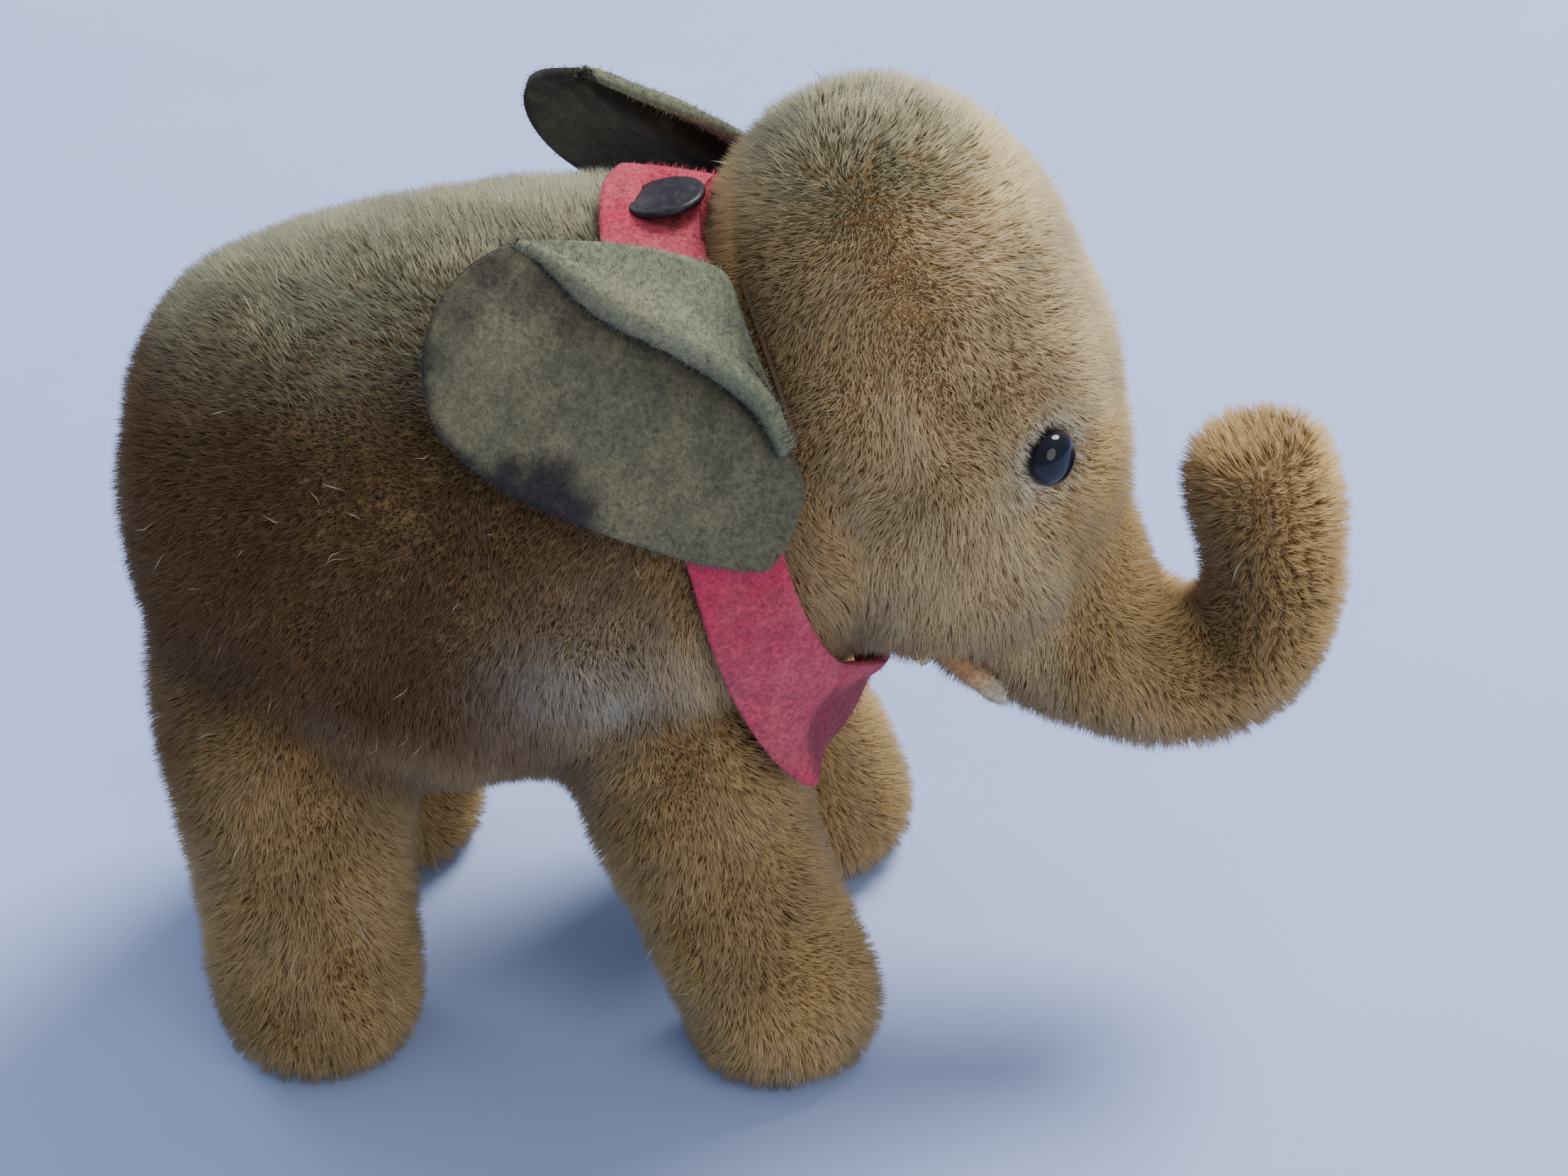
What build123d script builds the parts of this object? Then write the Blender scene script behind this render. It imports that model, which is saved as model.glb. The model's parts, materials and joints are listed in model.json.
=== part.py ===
"""Small standing plush elephant: sewn skin panels, stuffing, felt ears, felt collar.

Millimetres. +Z is up, +X is the way the elephant faces, +Y is its left side.
The origin is on the resting plane, under the middle of the whole toy.
"""

from build123d import *
import os

os.makedirs("parts", exist_ok=True)

# ---------------------------------------------------------------- driving dimensions

PILE = 2.5              # thickness of the skin: woven backing and standing pile
STANCE = 15.0           # sideways distance of each foot from the middle plane
FRONT_FOOT_X = 2.6
HIND_FOOT_X = -39.9
SOLE_THICK = 1.0
SOLE_RADIUS = 7.4

# Barrel of the body: x, height of the centre, half width, half height.
BODY = [
    (-52.4, 51.0, 6.0, 8.5),
    (-50.4, 50.5, 14.0, 15.5),
    (-45.5, 49.9, 19.5, 21.5),
    (-37.0, 49.5, 23.3, 25.2),
    (-24.0, 50.2, 25.2, 27.0),
    (-11.0, 51.9, 24.3, 26.3),
    (0.0, 53.2, 22.6, 23.8),
    (8.0, 53.9, 19.3, 20.2),
    (14.0, 54.5, 13.5, 14.5),
    (17.0, 55.0, 7.0, 8.0),
]

# Head: height, x of the centre, half length, half width.
HEAD = [
    (35.5, 19.5, 5.0, 5.0),
    (38.2, 19.2, 10.2, 9.8),
    (43.6, 18.7, 14.5, 13.8),
    (52.5, 18.2, 16.7, 16.4),
    (63.0, 17.3, 17.0, 17.5),
    (73.0, 15.6, 15.6, 16.3),
    (81.0, 14.5, 12.4, 13.0),
    (85.8, 14.1, 7.8, 8.2),
    (87.7, 14.0, 4.0, 4.2),
]

# Trunk: points of its middle line in the XZ plane, and a radius at each.
TRUNK = [
    (25.0, 41.5, 10.6),
    (30.8, 35.4, 9.0),
    (36.4, 32.0, 7.7),
    (42.2, 32.6, 7.0),
    (45.9, 36.9, 6.7),
    (46.8, 42.8, 6.6),
    (46.2, 48.7, 6.9),
    (45.2, 53.6, 6.5),
    (44.7, 56.0, 4.0),
]

# Legs: height, x past the foot, sideways distance, half length, half width.
FRONT_LEG = [
    (SOLE_THICK, 0.0, STANCE, 7.6, 7.6),
    (3.2, 0.0, STANCE, 9.2, 9.0),
    (8.5, -0.4, STANCE, 9.5, 9.3),
    (15.5, -2.8, 14.4, 9.5, 9.2),
    (24.5, -5.6, 13.2, 10.4, 9.6),
    (33.5, -8.0, 12.2, 11.0, 9.4),
    (43.0, -9.0, 11.5, 8.5, 7.5),
]
HIND_LEG = [
    (SOLE_THICK, 0.0, STANCE, 7.8, 7.6),
    (3.2, 0.0, STANCE, 9.6, 9.1),
    (8.5, 0.0, STANCE, 9.9, 9.4),
    (17.0, 0.3, 14.4, 10.0, 9.4),
    (28.0, 0.4, 13.2, 11.2, 10.2),
    (39.0, 0.6, 12.0, 11.9, 10.0),
    (48.0, 0.8, 11.3, 9.0, 8.0),
]

GUSSET_HALF = 5.5       # half width of the strip over the head and down the trunk
GUSSET_BACK_X = 6.0     # the strip starts behind the crown here
GUSSET_LOW_Z = 60.0     # above this it is the whole top of the head
GUSSET_FRONT_X = 30.0   # in front of this it runs down the trunk
BELLY_HALF = 14.8       # the under-body panels reach out to the middle of each leg
BELLY_SEAM_Z = 31.5
CHEST_SEAM_X = 13.0

EYE_AT = (29.3, 11.6, 60.1)
EYE_FORWARD = 57.0      # an eye looks this far forward of sideways, in degrees
EYE_RADIUS = 2.4
EYE_DOME = 1.5
EYE_BACK = 0.8
SHANK_RADIUS = 0.4
SHANK_LENGTH = 6.0
TIE_RADIUS = 0.3
TIE_GAP = 0.3

TUSK_ROOT = (17.8, 8.2, 40.1)
TUSK_TIP = (23.4, 9.6, 34.9)
TUSK_RADIUS = 1.35
TUSK_TIP_RADIUS = 0.9

# Left ear: two ends of the sewn root edge and the outermost point. The right ear mirrors it.
FELT = 1.1
EAR_ROOT_TOP = Vector(3.6, 10.4, 77.0)
EAR_ROOT_LOW = Vector(8.2, 16.6, 63.8)
EAR_OUTER = Vector(-19.6, 23.5, 75.3)
# Outline of the ear from the top of its root round its back, and from there to the free lower corner:
# distance up the root edge, distance out from it.
EAR_TOP_IN = 0.4
EAR_BACK = [(20.3, 7.9), (23.0, 15.7), (20.4, 22.6), (15.0, 26.7), (9.6, 26.2), (0.5, 19.1)]
EAR_CORNER = [(-8.4, 5.2), (-3.6, -0.2), (0, 0)]
EAR_THREAD_RADIUS = 0.25
EAR_THREAD_END = 1.0    # the thread stops this far from each end of the root
EAR_THREAD_GAP = 1.0
EAR_ROOM = 0.4         # kept clear round the ear while it turns
EAR_OPEN = (0, 15, 30, 45)

COLLAR_FELT = 1.0
COLLAR_GAP = 0.3        # between the band and the pile under it
COLLAR_X = 2.2          # middle of the band
COLLAR_Z = 58.0
COLLAR_TILT = 14.0      # the band's axis rises forward by this
COLLAR_NAPE_HALF = 5.4
COLLAR_CHEST_HALF = 5.6
COLLAR_REACH = 40.0

STUD_REACH = 19.7       # from the middle of the band up to the stud
STUD_Y = -1.0
STUD_CAP_RADIUS = 3.35
STUD_CAP_THICK = 0.9
STUD_CAP_GAP = 0.15
STUD_POST_RADIUS = 0.8
STUD_SOCKET_RADIUS = 2.4
STUD_SOCKET_THICK = 0.7

TAIL_X = -52.5          # middle line of the hanging tail, half sunk in the pile
TAIL_TOP_Z = 57.0
TAIL_LENGTH = 21.0
TAIL_RADIUS = 0.9
TAIL_GAP = 0.35

SEAM_RADIUS = 0.3
SEAM_X = (-32.0, -17.0)
SEAM_Z = 25.1

RING_START = 35.0       # degrees
FAR = 200.0             # larger than the toy: for cutting regions


# ---------------------------------------------------------------- soft shapes

def stretched(value, low, high, grow):
    """Move a station away from the middle of its range, so that the ends move by grow."""
    middle = (low + high) / 2
    half = (high - low) / 2
    return middle + (value - middle) * (half + grow) / half


def ring(half_x, half_y):
    """An oval section whose edge starts off the planes that the panels are cut on."""
    edge = Edge.make_ellipse(half_x, half_y, start_angle=RING_START, end_angle=RING_START + 360)
    return Face(Wire(edge))


def barrel(grow=0.0):
    """The body from rump to chest, made larger or smaller by grow."""
    low, high = BODY[0][0], BODY[-1][0]
    rings = []
    for x, z, half_y, half_z in BODY:
        plane = Plane(origin=(stretched(x, low, high, grow), 0, z), x_dir=(0, 1, 0), z_dir=(1, 0, 0))
        rings.append(plane * ring(half_y + grow, half_z + grow))
    return loft(rings)


def head(grow=0.0):
    low, high = HEAD[0][0], HEAD[-1][0]
    rings = []
    for z, x, half_x, half_y in HEAD:
        plane = Plane(origin=(x, 0, stretched(z, low, high, grow)), x_dir=(0, 1, 0), z_dir=(0, 0, 1))
        rings.append(plane * ring(half_y + grow, half_x + grow))
    return loft(rings)


def trunk(grow=0.0):
    """The curled trunk: rings square to a smooth middle line, shorter by grow at the tip."""
    line = Spline(*[(x, 0, z) for x, z, _ in TRUNK])
    reach = 1 + grow / line.length
    rings = []
    for x, z, radius in TRUNK:
        at = line.param_at_point((x, 0, z)) * reach
        plane = Plane(origin=line @ at, x_dir=(0, 1, 0), z_dir=line % at)
        rings.append(plane * ring(radius + grow, radius + grow))
    return loft(rings)


def leg(stations, foot_x, side, grow=0.0):
    low, high = stations[0][0], stations[-1][0]
    rings = []
    for z, dx, y, half_x, half_y in stations:
        plane = Plane(origin=(foot_x + dx, side * y, stretched(z, low, high, grow)))
        rings.append(plane * ring(half_x + grow, half_y + grow))
    return loft(rings)


LEGS = {
    "front_left": (FRONT_LEG, FRONT_FOOT_X, 1),
    "front_right": (FRONT_LEG, FRONT_FOOT_X, -1),
    "hind_left": (HIND_LEG, HIND_FOOT_X, 1),
    "hind_right": (HIND_LEG, HIND_FOOT_X, -1),
}


def whole(grow=0.0):
    """Body, head, trunk and legs as one solid."""
    solid = barrel(grow) + head(grow) + trunk(grow)
    for stations, foot_x, side in LEGS.values():
        solid += leg(stations, foot_x, side, grow)
    return solid


def region(low, high):
    """A block between two corners."""
    size = [b - a for a, b in zip(low, high)]
    middle = [(a + b) / 2 for a, b in zip(low, high)]
    return Pos(*middle) * Box(*size)


def left_half(grow=0.0):
    """The left half of the same solid, its parts halved before they are joined."""
    left = region((-FAR, 0, -FAR), (FAR, FAR, FAR))
    solid = (barrel(grow) & left) + (head(grow) & left) + (trunk(grow) & left)
    for name in ("front_left", "hind_left"):
        solid += leg(*LEGS[name], grow)
    return solid


# ---------------------------------------------------------------- small pieces

def outward(side):
    """Which way an eye looks: sideways and partly forward."""
    return Vector(0, side, 0).rotate(Axis.Z, -side * EYE_FORWARD)


def rod(start, end, radius):
    """A round rod between two points."""
    plane = Plane(origin=start, z_dir=end - start)
    length = (end - start).length
    return plane * Cylinder(radius, length, align=(Align.CENTER, Align.CENTER, Align.MIN))


def eye():
    """The left eye, a domed button: a low cap on a short round base."""
    ball_radius = (EYE_RADIUS**2 + EYE_DOME**2) / (2 * EYE_DOME)
    ball = Pos(0, 0, EYE_DOME - ball_radius) * Sphere(ball_radius)
    front = Pos(0, 0, EYE_DOME) * Box(3 * EYE_RADIUS, 3 * EYE_RADIUS, 2 * EYE_DOME)
    base = Pos(0, 0, -EYE_BACK / 2) * Cylinder(EYE_RADIUS, EYE_BACK)
    return Plane(origin=EYE_AT, z_dir=outward(1)) * ((ball & front) + base)


def shank():
    """The wire that runs from the back of the left eye into the head."""
    start = Vector(*EYE_AT) - outward(1) * EYE_BACK
    return rod(start, start - outward(1) * SHANK_LENGTH, SHANK_RADIUS)


def tie_thread():
    """The thread inside the head that pulls the two shanks together."""
    end = Vector(*EYE_AT) - outward(1) * (EYE_BACK + SHANK_LENGTH + TIE_GAP)
    return rod(Vector(end.X, -end.Y, end.Z), end, TIE_RADIUS)


def tusk():
    """The left tusk: a thin roll of felt with a rounded tip."""
    root = Vector(*TUSK_ROOT)
    tip = Vector(*TUSK_TIP)
    length = (tip - root).length
    cone = Cone(TUSK_RADIUS, TUSK_TIP_RADIUS, length, align=(Align.CENTER, Align.CENTER, Align.MIN))
    return Plane(origin=root, z_dir=tip - root) * (cone + Pos(0, 0, length) * Sphere(TUSK_TIP_RADIUS))


def ear_plane():
    """The plane of the left ear: x runs up the sewn root edge, y runs out over the shoulder."""
    up = (EAR_ROOT_TOP - EAR_ROOT_LOW).normalized()
    normal = up.cross(EAR_OUTER - EAR_ROOT_LOW).normalized()
    return Plane(origin=EAR_ROOT_LOW, x_dir=up, z_dir=normal)


def ear(grow=0.0):
    """The left ear, one piece of felt: straight root edge, round back, squared free corner below."""
    root = (EAR_ROOT_TOP - EAR_ROOT_LOW).length
    top = (root, EAR_TOP_IN)
    outline = make_face(Spline(top, *EAR_BACK) + Polyline(EAR_BACK[-1], *EAR_CORNER, top))
    if grow > 0:
        outline = offset(outline, grow)
    return extrude(ear_plane() * outline, amount=FELT / 2 + grow, both=True)


def ear_space():
    """Where the left ear passes as it turns outward, as solids to take out of the pile."""
    axis = Axis(EAR_ROOT_LOW, EAR_ROOT_LOW - EAR_ROOT_TOP)
    return [ear(EAR_ROOM).rotate(axis, angle) for angle in EAR_OPEN]


def before_ear():
    """The room in front of the left ear, which the band keeps out of as it passes behind."""
    reach = EAR_BACK[-1][1] * 3
    block = Box(reach, reach, reach, align=(Align.CENTER, Align.CENTER, Align.MAX))
    return ear_plane() * (Pos(reach / 6, 0, FELT / 2 + EAR_ROOM) * block)


def ear_thread():
    """The sewing thread along the root of the left ear, between the felt and the head."""
    plane = ear_plane()
    root = (EAR_ROOT_TOP - EAR_ROOT_LOW).length
    low = plane.from_local_coords(Vector(EAR_THREAD_END, -EAR_THREAD_GAP, 0))
    top = plane.from_local_coords(Vector(root - EAR_THREAD_END, -EAR_THREAD_GAP, 0))
    return rod(low, top, EAR_THREAD_RADIUS)


def collar_axis():
    return Vector(1, 0, 0).rotate(Axis.Y, -COLLAR_TILT)


def neck(grow):
    """What the band lies on: chest, back of the head and tops of the front legs."""
    solid = barrel(grow) + head(grow)
    for side in (-1, 1):
        solid += leg(FRONT_LEG, FRONT_FOOT_X, side, grow)
    return solid


def collar():
    """The left half of a felt band round the neck, its ends lapped and pressed flat at the nape."""
    wedge = make_face(Polyline(
        (-COLLAR_NAPE_HALF, COLLAR_REACH), (COLLAR_NAPE_HALF, COLLAR_REACH),
        (COLLAR_CHEST_HALF, -COLLAR_REACH), (-COLLAR_CHEST_HALF, -COLLAR_REACH),
        (-COLLAR_NAPE_HALF, COLLAR_REACH),
    ))
    plane = Plane(origin=(COLLAR_X, 0, COLLAR_Z), x_dir=collar_axis(), z_dir=(0, -1, 0))
    slab = extrude(plane * wedge, amount=FAR / 4)
    slab += extrude(plane * wedge, amount=-FAR / 4)
    above = region((-FAR, 0, 30.0), (FAR, FAR, FAR))
    return (neck(COLLAR_GAP + COLLAR_FELT) & slab & above) - neck(COLLAR_GAP)


def stud_x():
    return COLLAR_X - STUD_REACH * collar_axis().Z


def nape_top(grow):
    """Height of a surface grow above the pile, in the middle plane where the stud sits."""
    behind = BODY[5]
    ahead = BODY[6]
    share = (stud_x() - behind[0]) / (ahead[0] - behind[0])
    centre = behind[1] + share * (ahead[1] - behind[1])
    half = behind[3] + share * (ahead[3] - behind[3])
    return centre + half + grow


def stud_cap():
    """The press stud's cap: a low disc with a sloping crown, on the felt."""
    low = (Align.CENTER, Align.CENTER, Align.MIN)
    half = STUD_CAP_THICK / 2
    base = nape_top(COLLAR_GAP + COLLAR_FELT) + STUD_CAP_GAP
    rim = Pos(stud_x(), STUD_Y, base) * Cylinder(STUD_CAP_RADIUS, half, align=low)
    crown = Cone(STUD_CAP_RADIUS, STUD_CAP_RADIUS * 0.72, half, align=low)
    return rim + Pos(stud_x(), STUD_Y, base + half) * crown


def stud_socket():
    """The stud's post and the socket under the felt, pressed into the pile."""
    top = nape_top(COLLAR_GAP + COLLAR_FELT) + STUD_CAP_GAP
    under = nape_top(COLLAR_GAP) - STUD_SOCKET_THICK / 2
    post = rod(Vector(stud_x(), STUD_Y, under), Vector(stud_x(), STUD_Y, top), STUD_POST_RADIUS)
    socket = Pos(stud_x(), STUD_Y, under - STUD_SOCKET_THICK / 2) * Cylinder(
        STUD_SOCKET_RADIUS, STUD_SOCKET_THICK)
    return post + socket


def stud_seat():
    """The room that the cap presses flat in the felt."""
    base = nape_top(COLLAR_GAP + COLLAR_FELT)
    low = (Align.CENTER, Align.CENTER, Align.MIN)
    return Pos(stud_x(), STUD_Y, base) * Cylinder(STUD_CAP_RADIUS + STUD_CAP_GAP, 4 * STUD_CAP_THICK, align=low)


def tail(grow=0.0):
    """A thin hanging tail, rounded at both ends, or the hollow that it lies in."""
    low = Vector(TAIL_X, 0, TAIL_TOP_Z - TAIL_LENGTH - grow)
    top = Vector(TAIL_X, 0, TAIL_TOP_Z + grow)
    cord = rod(low, top, TAIL_RADIUS + grow)
    return fillet(cord.edges().filter_by(GeomType.CIRCLE), (TAIL_RADIUS + grow) * 0.8)


# ---------------------------------------------------------------- assembly

def mirrored(piece):
    return mirror(piece, about=Plane.XZ)


def without(piece, cutters):
    for cutter in cutters:
        piece -= cutter
    return piece


def skin_panels(cutters):
    """The sewn skin, cut into its panels: the left half is made and mirrored."""
    strip = region((GUSSET_BACK_X, -GUSSET_HALF, GUSSET_LOW_Z), (FAR, GUSSET_HALF, FAR))
    strip += region((GUSSET_FRONT_X, -GUSSET_HALF, 0.0), (FAR, GUSSET_HALF, GUSSET_LOW_Z))
    left = left_half() - left_half(-PILE) - strip
    below = region((-FAR, -BELLY_HALF, -FAR), (CHEST_SEAM_X, BELLY_HALF, BELLY_SEAM_Z))
    panels = {"plush_head_gusset": (whole() - whole(-PILE)) & strip}
    for name, panel in (("plush_side_", left - below), ("plush_underbody_", left & below)):
        panels[name + "left"] = without(panel, cutters)
        panels[name + "right"] = mirrored(panels[name + "left"])
    return panels


def stuffing(cutters):
    """Wads of stuffing that fill the skin, each shaped to the one that it meets."""
    body = barrel(-PILE)
    top = head(-PILE) - body
    nose = trunk(-PILE) - head(-PILE) - body
    wads = {
        "stuffing_body": body,
        "stuffing_head": without(without(top, cutters), [mirrored(cutter) for cutter in cutters]),
        "stuffing_trunk": nose,
    }
    for name, (stations, foot_x, side) in LEGS.items():
        if side > 0:
            wad = leg(stations, foot_x, side, -PILE) - body
            wads["stuffing_leg_" + name] = wad
            wads["stuffing_leg_" + name.replace("left", "right")] = mirrored(wad)
    return wads


def main():
    pairs = {"eye_": eye(), "eye_shank_": shank(), "tusk_": tusk(), "ear_": ear()}
    pairs["ear_seam_thread_"] = ear_thread()
    made = {}
    for name, piece in pairs.items():
        made[name + "left"] = piece
        made[name + "right"] = mirrored(piece)
    made["eye_tie_thread"] = tie_thread()
    made["belly_closing_thread"] = rod(Vector(SEAM_X[0], 0, SEAM_Z), Vector(SEAM_X[1], 0, SEAM_Z), SEAM_RADIUS)
    made["stud_cap"] = stud_cap()
    made["stud_socket"] = stud_socket()
    made["tail"] = tail()
    band = collar() - before_ear()
    made["collar_felt"] = without(band + mirrored(band), [made["stud_socket"], stud_seat()])

    in_head = [made["eye_left"], made["eye_shank_left"], made["eye_tie_thread"], made["tusk_left"]]
    in_skin = in_head + [made["belly_closing_thread"], made["stud_socket"], tail(TAIL_GAP)]
    in_skin += [mirrored(made["stud_socket"]), made["ear_seam_thread_left"]] + ear_space()
    made.update(skin_panels(in_skin))
    made.update(stuffing(in_head))
    for name, (stations, foot_x, side) in LEGS.items():
        middle = Pos(foot_x, side * STANCE, SOLE_THICK / 2)
        made["plush_sole_" + name] = middle * Cylinder(SOLE_RADIUS, SOLE_THICK)

    for name, piece in made.items():
        export_step(piece, f"parts/{name}.step")
        print(name, len(piece.solids()), round(piece.volume, 1))


main()
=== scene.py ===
"""Looks of the small standing plush elephant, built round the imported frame.

Metres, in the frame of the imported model: +X the way the elephant faces, +Y its left, +Z up.
"""

import json
import math

import bmesh
import bpy
import numpy as np
from bpy.props import FloatProperty, FloatVectorProperty, IntProperty, PointerProperty
from mathutils import Matrix, Vector
from mathutils.bvhtree import BVHTree

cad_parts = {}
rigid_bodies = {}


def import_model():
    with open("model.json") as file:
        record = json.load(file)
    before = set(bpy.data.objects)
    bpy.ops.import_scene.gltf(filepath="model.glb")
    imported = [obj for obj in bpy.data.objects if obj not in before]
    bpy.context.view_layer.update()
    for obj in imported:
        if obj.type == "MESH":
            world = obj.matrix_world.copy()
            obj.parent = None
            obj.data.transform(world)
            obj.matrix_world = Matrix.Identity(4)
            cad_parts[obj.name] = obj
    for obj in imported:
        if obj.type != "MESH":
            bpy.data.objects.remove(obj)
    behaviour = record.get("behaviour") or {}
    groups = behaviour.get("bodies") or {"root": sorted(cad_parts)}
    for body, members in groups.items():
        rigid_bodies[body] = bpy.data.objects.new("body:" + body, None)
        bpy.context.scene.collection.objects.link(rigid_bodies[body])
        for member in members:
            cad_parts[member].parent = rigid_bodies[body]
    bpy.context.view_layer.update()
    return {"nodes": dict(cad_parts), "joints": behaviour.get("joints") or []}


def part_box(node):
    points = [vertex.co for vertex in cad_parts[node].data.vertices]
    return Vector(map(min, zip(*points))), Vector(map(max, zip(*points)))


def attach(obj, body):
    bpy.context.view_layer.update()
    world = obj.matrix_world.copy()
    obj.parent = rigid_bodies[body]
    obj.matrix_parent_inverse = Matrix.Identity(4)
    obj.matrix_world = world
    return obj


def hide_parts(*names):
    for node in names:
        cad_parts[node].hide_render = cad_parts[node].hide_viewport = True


bl_info = {
    "name": "Plush elephant",
    "version": (1, 0, 0),
    "blender": (4, 5, 0),
    "location": "View3D > Sidebar > Plush elephant",
    "description": "Pile, felt, eyes and stud of a small plush elephant round its packed frame",
    "category": "Object",
}

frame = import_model()

MM = 0.001
SIDES = {"left": 1.0, "right": -1.0}
SKIN_NODES = [name for name in frame["nodes"] if name.startswith(("plush_", "stuffing_"))]

# places on the toy in millimetres, on its left side; Y changes sign for the right
EYE = (29.3, 11.6, 60.1)
EYE_BALD = (30.3, 11.9, 60.1)     # middle of the bare patch that the eye sits in
EYE_FORWARD = math.radians(57)
TUSK_ROOT = (17.8, 8.2, 40.1)
TUSK_TIP = (23.4, 9.6, 34.9)
TRUNK_CURL = np.array([38.0, 0.0, 44.5])
CROWN = np.array([10.0, 0.0, 84.0])
WHORL = np.array([-10.0, 24.0, 47.0])
BODY, HEAD, TRUNK, FRONT_LEG, HIND_LEG = range(5)
REGIONS = ("body", "head", "trunk", "front_leg", "hind_leg")
FLOOR_GAP = 0.1 * MM
ROOT_DEPTH = 0.3 * MM             # how far a tuft starts inside the backing
MOST_TUFTS = 27000                # in one piece


# ---------------------------------------------------------------- sizes and colours a user would change

def length(name, default_mm, description):
    """A length property given in millimetres."""
    return FloatProperty(name=name, description=description, default=default_mm * MM, unit="LENGTH", precision=5)


def colour(name, default, description):
    return FloatVectorProperty(name=name, description=description, default=default, size=3,
                               subtype="COLOR", min=0.0, max=1.0)


class PileSettings(bpy.types.PropertyGroup):
    fibres: IntProperty(name="Fibres", description="How many tufts of mohair cover the toy", default=500000)
    bent_share: FloatProperty(name="Bent share", description="Share of the tufts that bend", default=0.08)
    seed: IntProperty(name="Seed", description="Start of the tufts' random numbers", default=7)
    long: length("Pile length", 2.2, "Length of a tuft")
    wide: length("Tuft width", 0.1, "Width of a tuft at its root")
    inset: length("Backing depth", 1.75, "How far the woven backing lies under the tips of the pile")
    # Back and crown: painted highlight, a pale colour laid on upward-facing pile where light falls
    top: colour("Back and crown", (0.33, 0.32, 0.21), "Pile bleached by light")
    tan: colour("Golden tan", (0.66, 0.455, 0.20), "Pile of head, trunk and legs")
    # Flank: darker pile of the sides, partly painted shade where the ears shadow them
    flank_and_shade: colour("Flank", (0.165, 0.082, 0.030), "Darker pile of the sides")
    # Underside: painted shade, a darker colour laid on the downward-facing pile of belly and inner legs
    under: colour("Underside", (0.36, 0.235, 0.11), "Pile of belly and inner legs")
    head: colour("Head", (0.80, 0.66, 0.42), "Pale part of the head's pile")
    # Forehead: paler pile of the forehead with a painted highlight where light falls on it
    brow_and_highlight: colour("Forehead", (0.76, 0.66, 0.43), "Faded pile of the forehead")
    # Whorl: greyish pile at the shoulder with a painted highlight where the turned fibres catch light
    whorl: colour("Whorl", (0.56, 0.50, 0.39), "Greyish whorl at the shoulder")
    # Trunk inside: painted shade, dark brown laid on the pile that faces into the trunk's curl
    trunk_curl_shade: colour("Trunk inside", (0.19, 0.105, 0.045), "Brown pile on the inside of the trunk's curl")
    trunk_end: colour("Trunk end", (0.17, 0.10, 0.05), "Brown pile at the trunk's tip")
    eye_ring: colour("Eye ring", (0.80, 0.76, 0.68), "Thin pale pile round the eyes")
    pale_hair: colour("Pale hair", (0.74, 0.68, 0.55), "Long pale hairs")
    dark_hair: colour("Dark hair", (0.05, 0.03, 0.02), "Long dark hairs")
    backing: colour("Backing", (0.34, 0.22, 0.10), "Woven backing between the tufts")


class FeltSettings(bpy.types.PropertyGroup):
    ear_thick: length("Ear felt", 1.0, "Thickness of the ears' felt")
    collar_thick: length("Collar felt", 0.9, "Thickness of the collar's felt")
    ear_grey: colour("Ear grey", (0.135, 0.130, 0.084), "Main colour of the ears")
    # Ear pale: paler felt of the upper fold, partly painted light where the flap faces up
    ear_pale_and_lit: colour("Ear pale", (0.215, 0.23, 0.155), "Faded upper fold of the ears")
    ear_stain: colour("Ear stain", (0.022, 0.013, 0.020), "Old stains on the ears")
    collar_red: colour("Collar red", (0.70, 0.055, 0.12), "Colour of the collar's felt")
    collar_worn: colour("Collar worn", (0.66, 0.15, 0.18), "Worn fuzz on the collar")
    tusk_white: colour("Tusk tip", (0.60, 0.54, 0.40), "Colour of the tusks' tips")
    tusk_tan: colour("Tusk root", (0.46, 0.25, 0.115), "Colour of the tusks near the mouth")


class HardwareSettings(bpy.types.PropertyGroup):
    eye_black: colour("Eye", (0.006, 0.007, 0.012), "Colour of the eyes")
    stud_dark: colour("Stud", (0.012, 0.010, 0.016), "Lacquer of the press stud")
    thread: colour("Thread", (0.12, 0.085, 0.05), "Sewing thread")
    cord: colour("Tail cord", (0.17, 0.11, 0.06), "Cord of the tail")


class StageSettings(bpy.types.PropertyGroup):
    azimuth: FloatProperty(name="Azimuth", description="Camera's turn round the toy", default=math.radians(10),
                           subtype="ANGLE")
    elevation: FloatProperty(name="Elevation", description="Camera's height angle", default=math.radians(33),
                             subtype="ANGLE")
    roll: FloatProperty(name="Roll", description="Camera's tilt about its own axis", default=math.radians(-5.5),
                        subtype="ANGLE")
    distance: length("Distance", 330, "From the camera to its target")
    target: FloatVectorProperty(name="Target", description="Point that the camera looks at",
                                default=(3.92 * MM, 0.0, 39.8 * MM), subtype="XYZ")
    lens: FloatProperty(name="Lens", description="Focal length in millimetres on a 36 mm sensor", default=85.9)
    floor: colour("Floor", (0.44, 0.545, 0.88), "Plain pale cloth floor")


GROUPS = {"pile": PileSettings, "felt": FeltSettings, "hardware": HardwareSettings, "stage": StageSettings}


# ---------------------------------------------------------------- meshes

def add_object(name, mesh):
    made = bpy.data.objects.new(name, mesh)
    bpy.context.scene.collection.objects.link(made)
    return made


def triangle_mesh(name, points, triangles, smooth=True):
    """A mesh from an array of points and an array of triangles."""
    mesh = bpy.data.meshes.new(name)
    mesh.vertices.add(len(points))
    mesh.vertices.foreach_set("co", np.asarray(points, np.float32).ravel())
    mesh.loops.add(3 * len(triangles))
    mesh.loops.foreach_set("vertex_index", np.asarray(triangles, np.int32).ravel())
    mesh.polygons.add(len(triangles))
    mesh.polygons.foreach_set("loop_start", np.arange(0, 3 * len(triangles), 3, dtype=np.int32))
    mesh.update(calc_edges=True)
    mesh.polygons.foreach_set("use_smooth", np.full(len(triangles), smooth))
    return mesh


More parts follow.
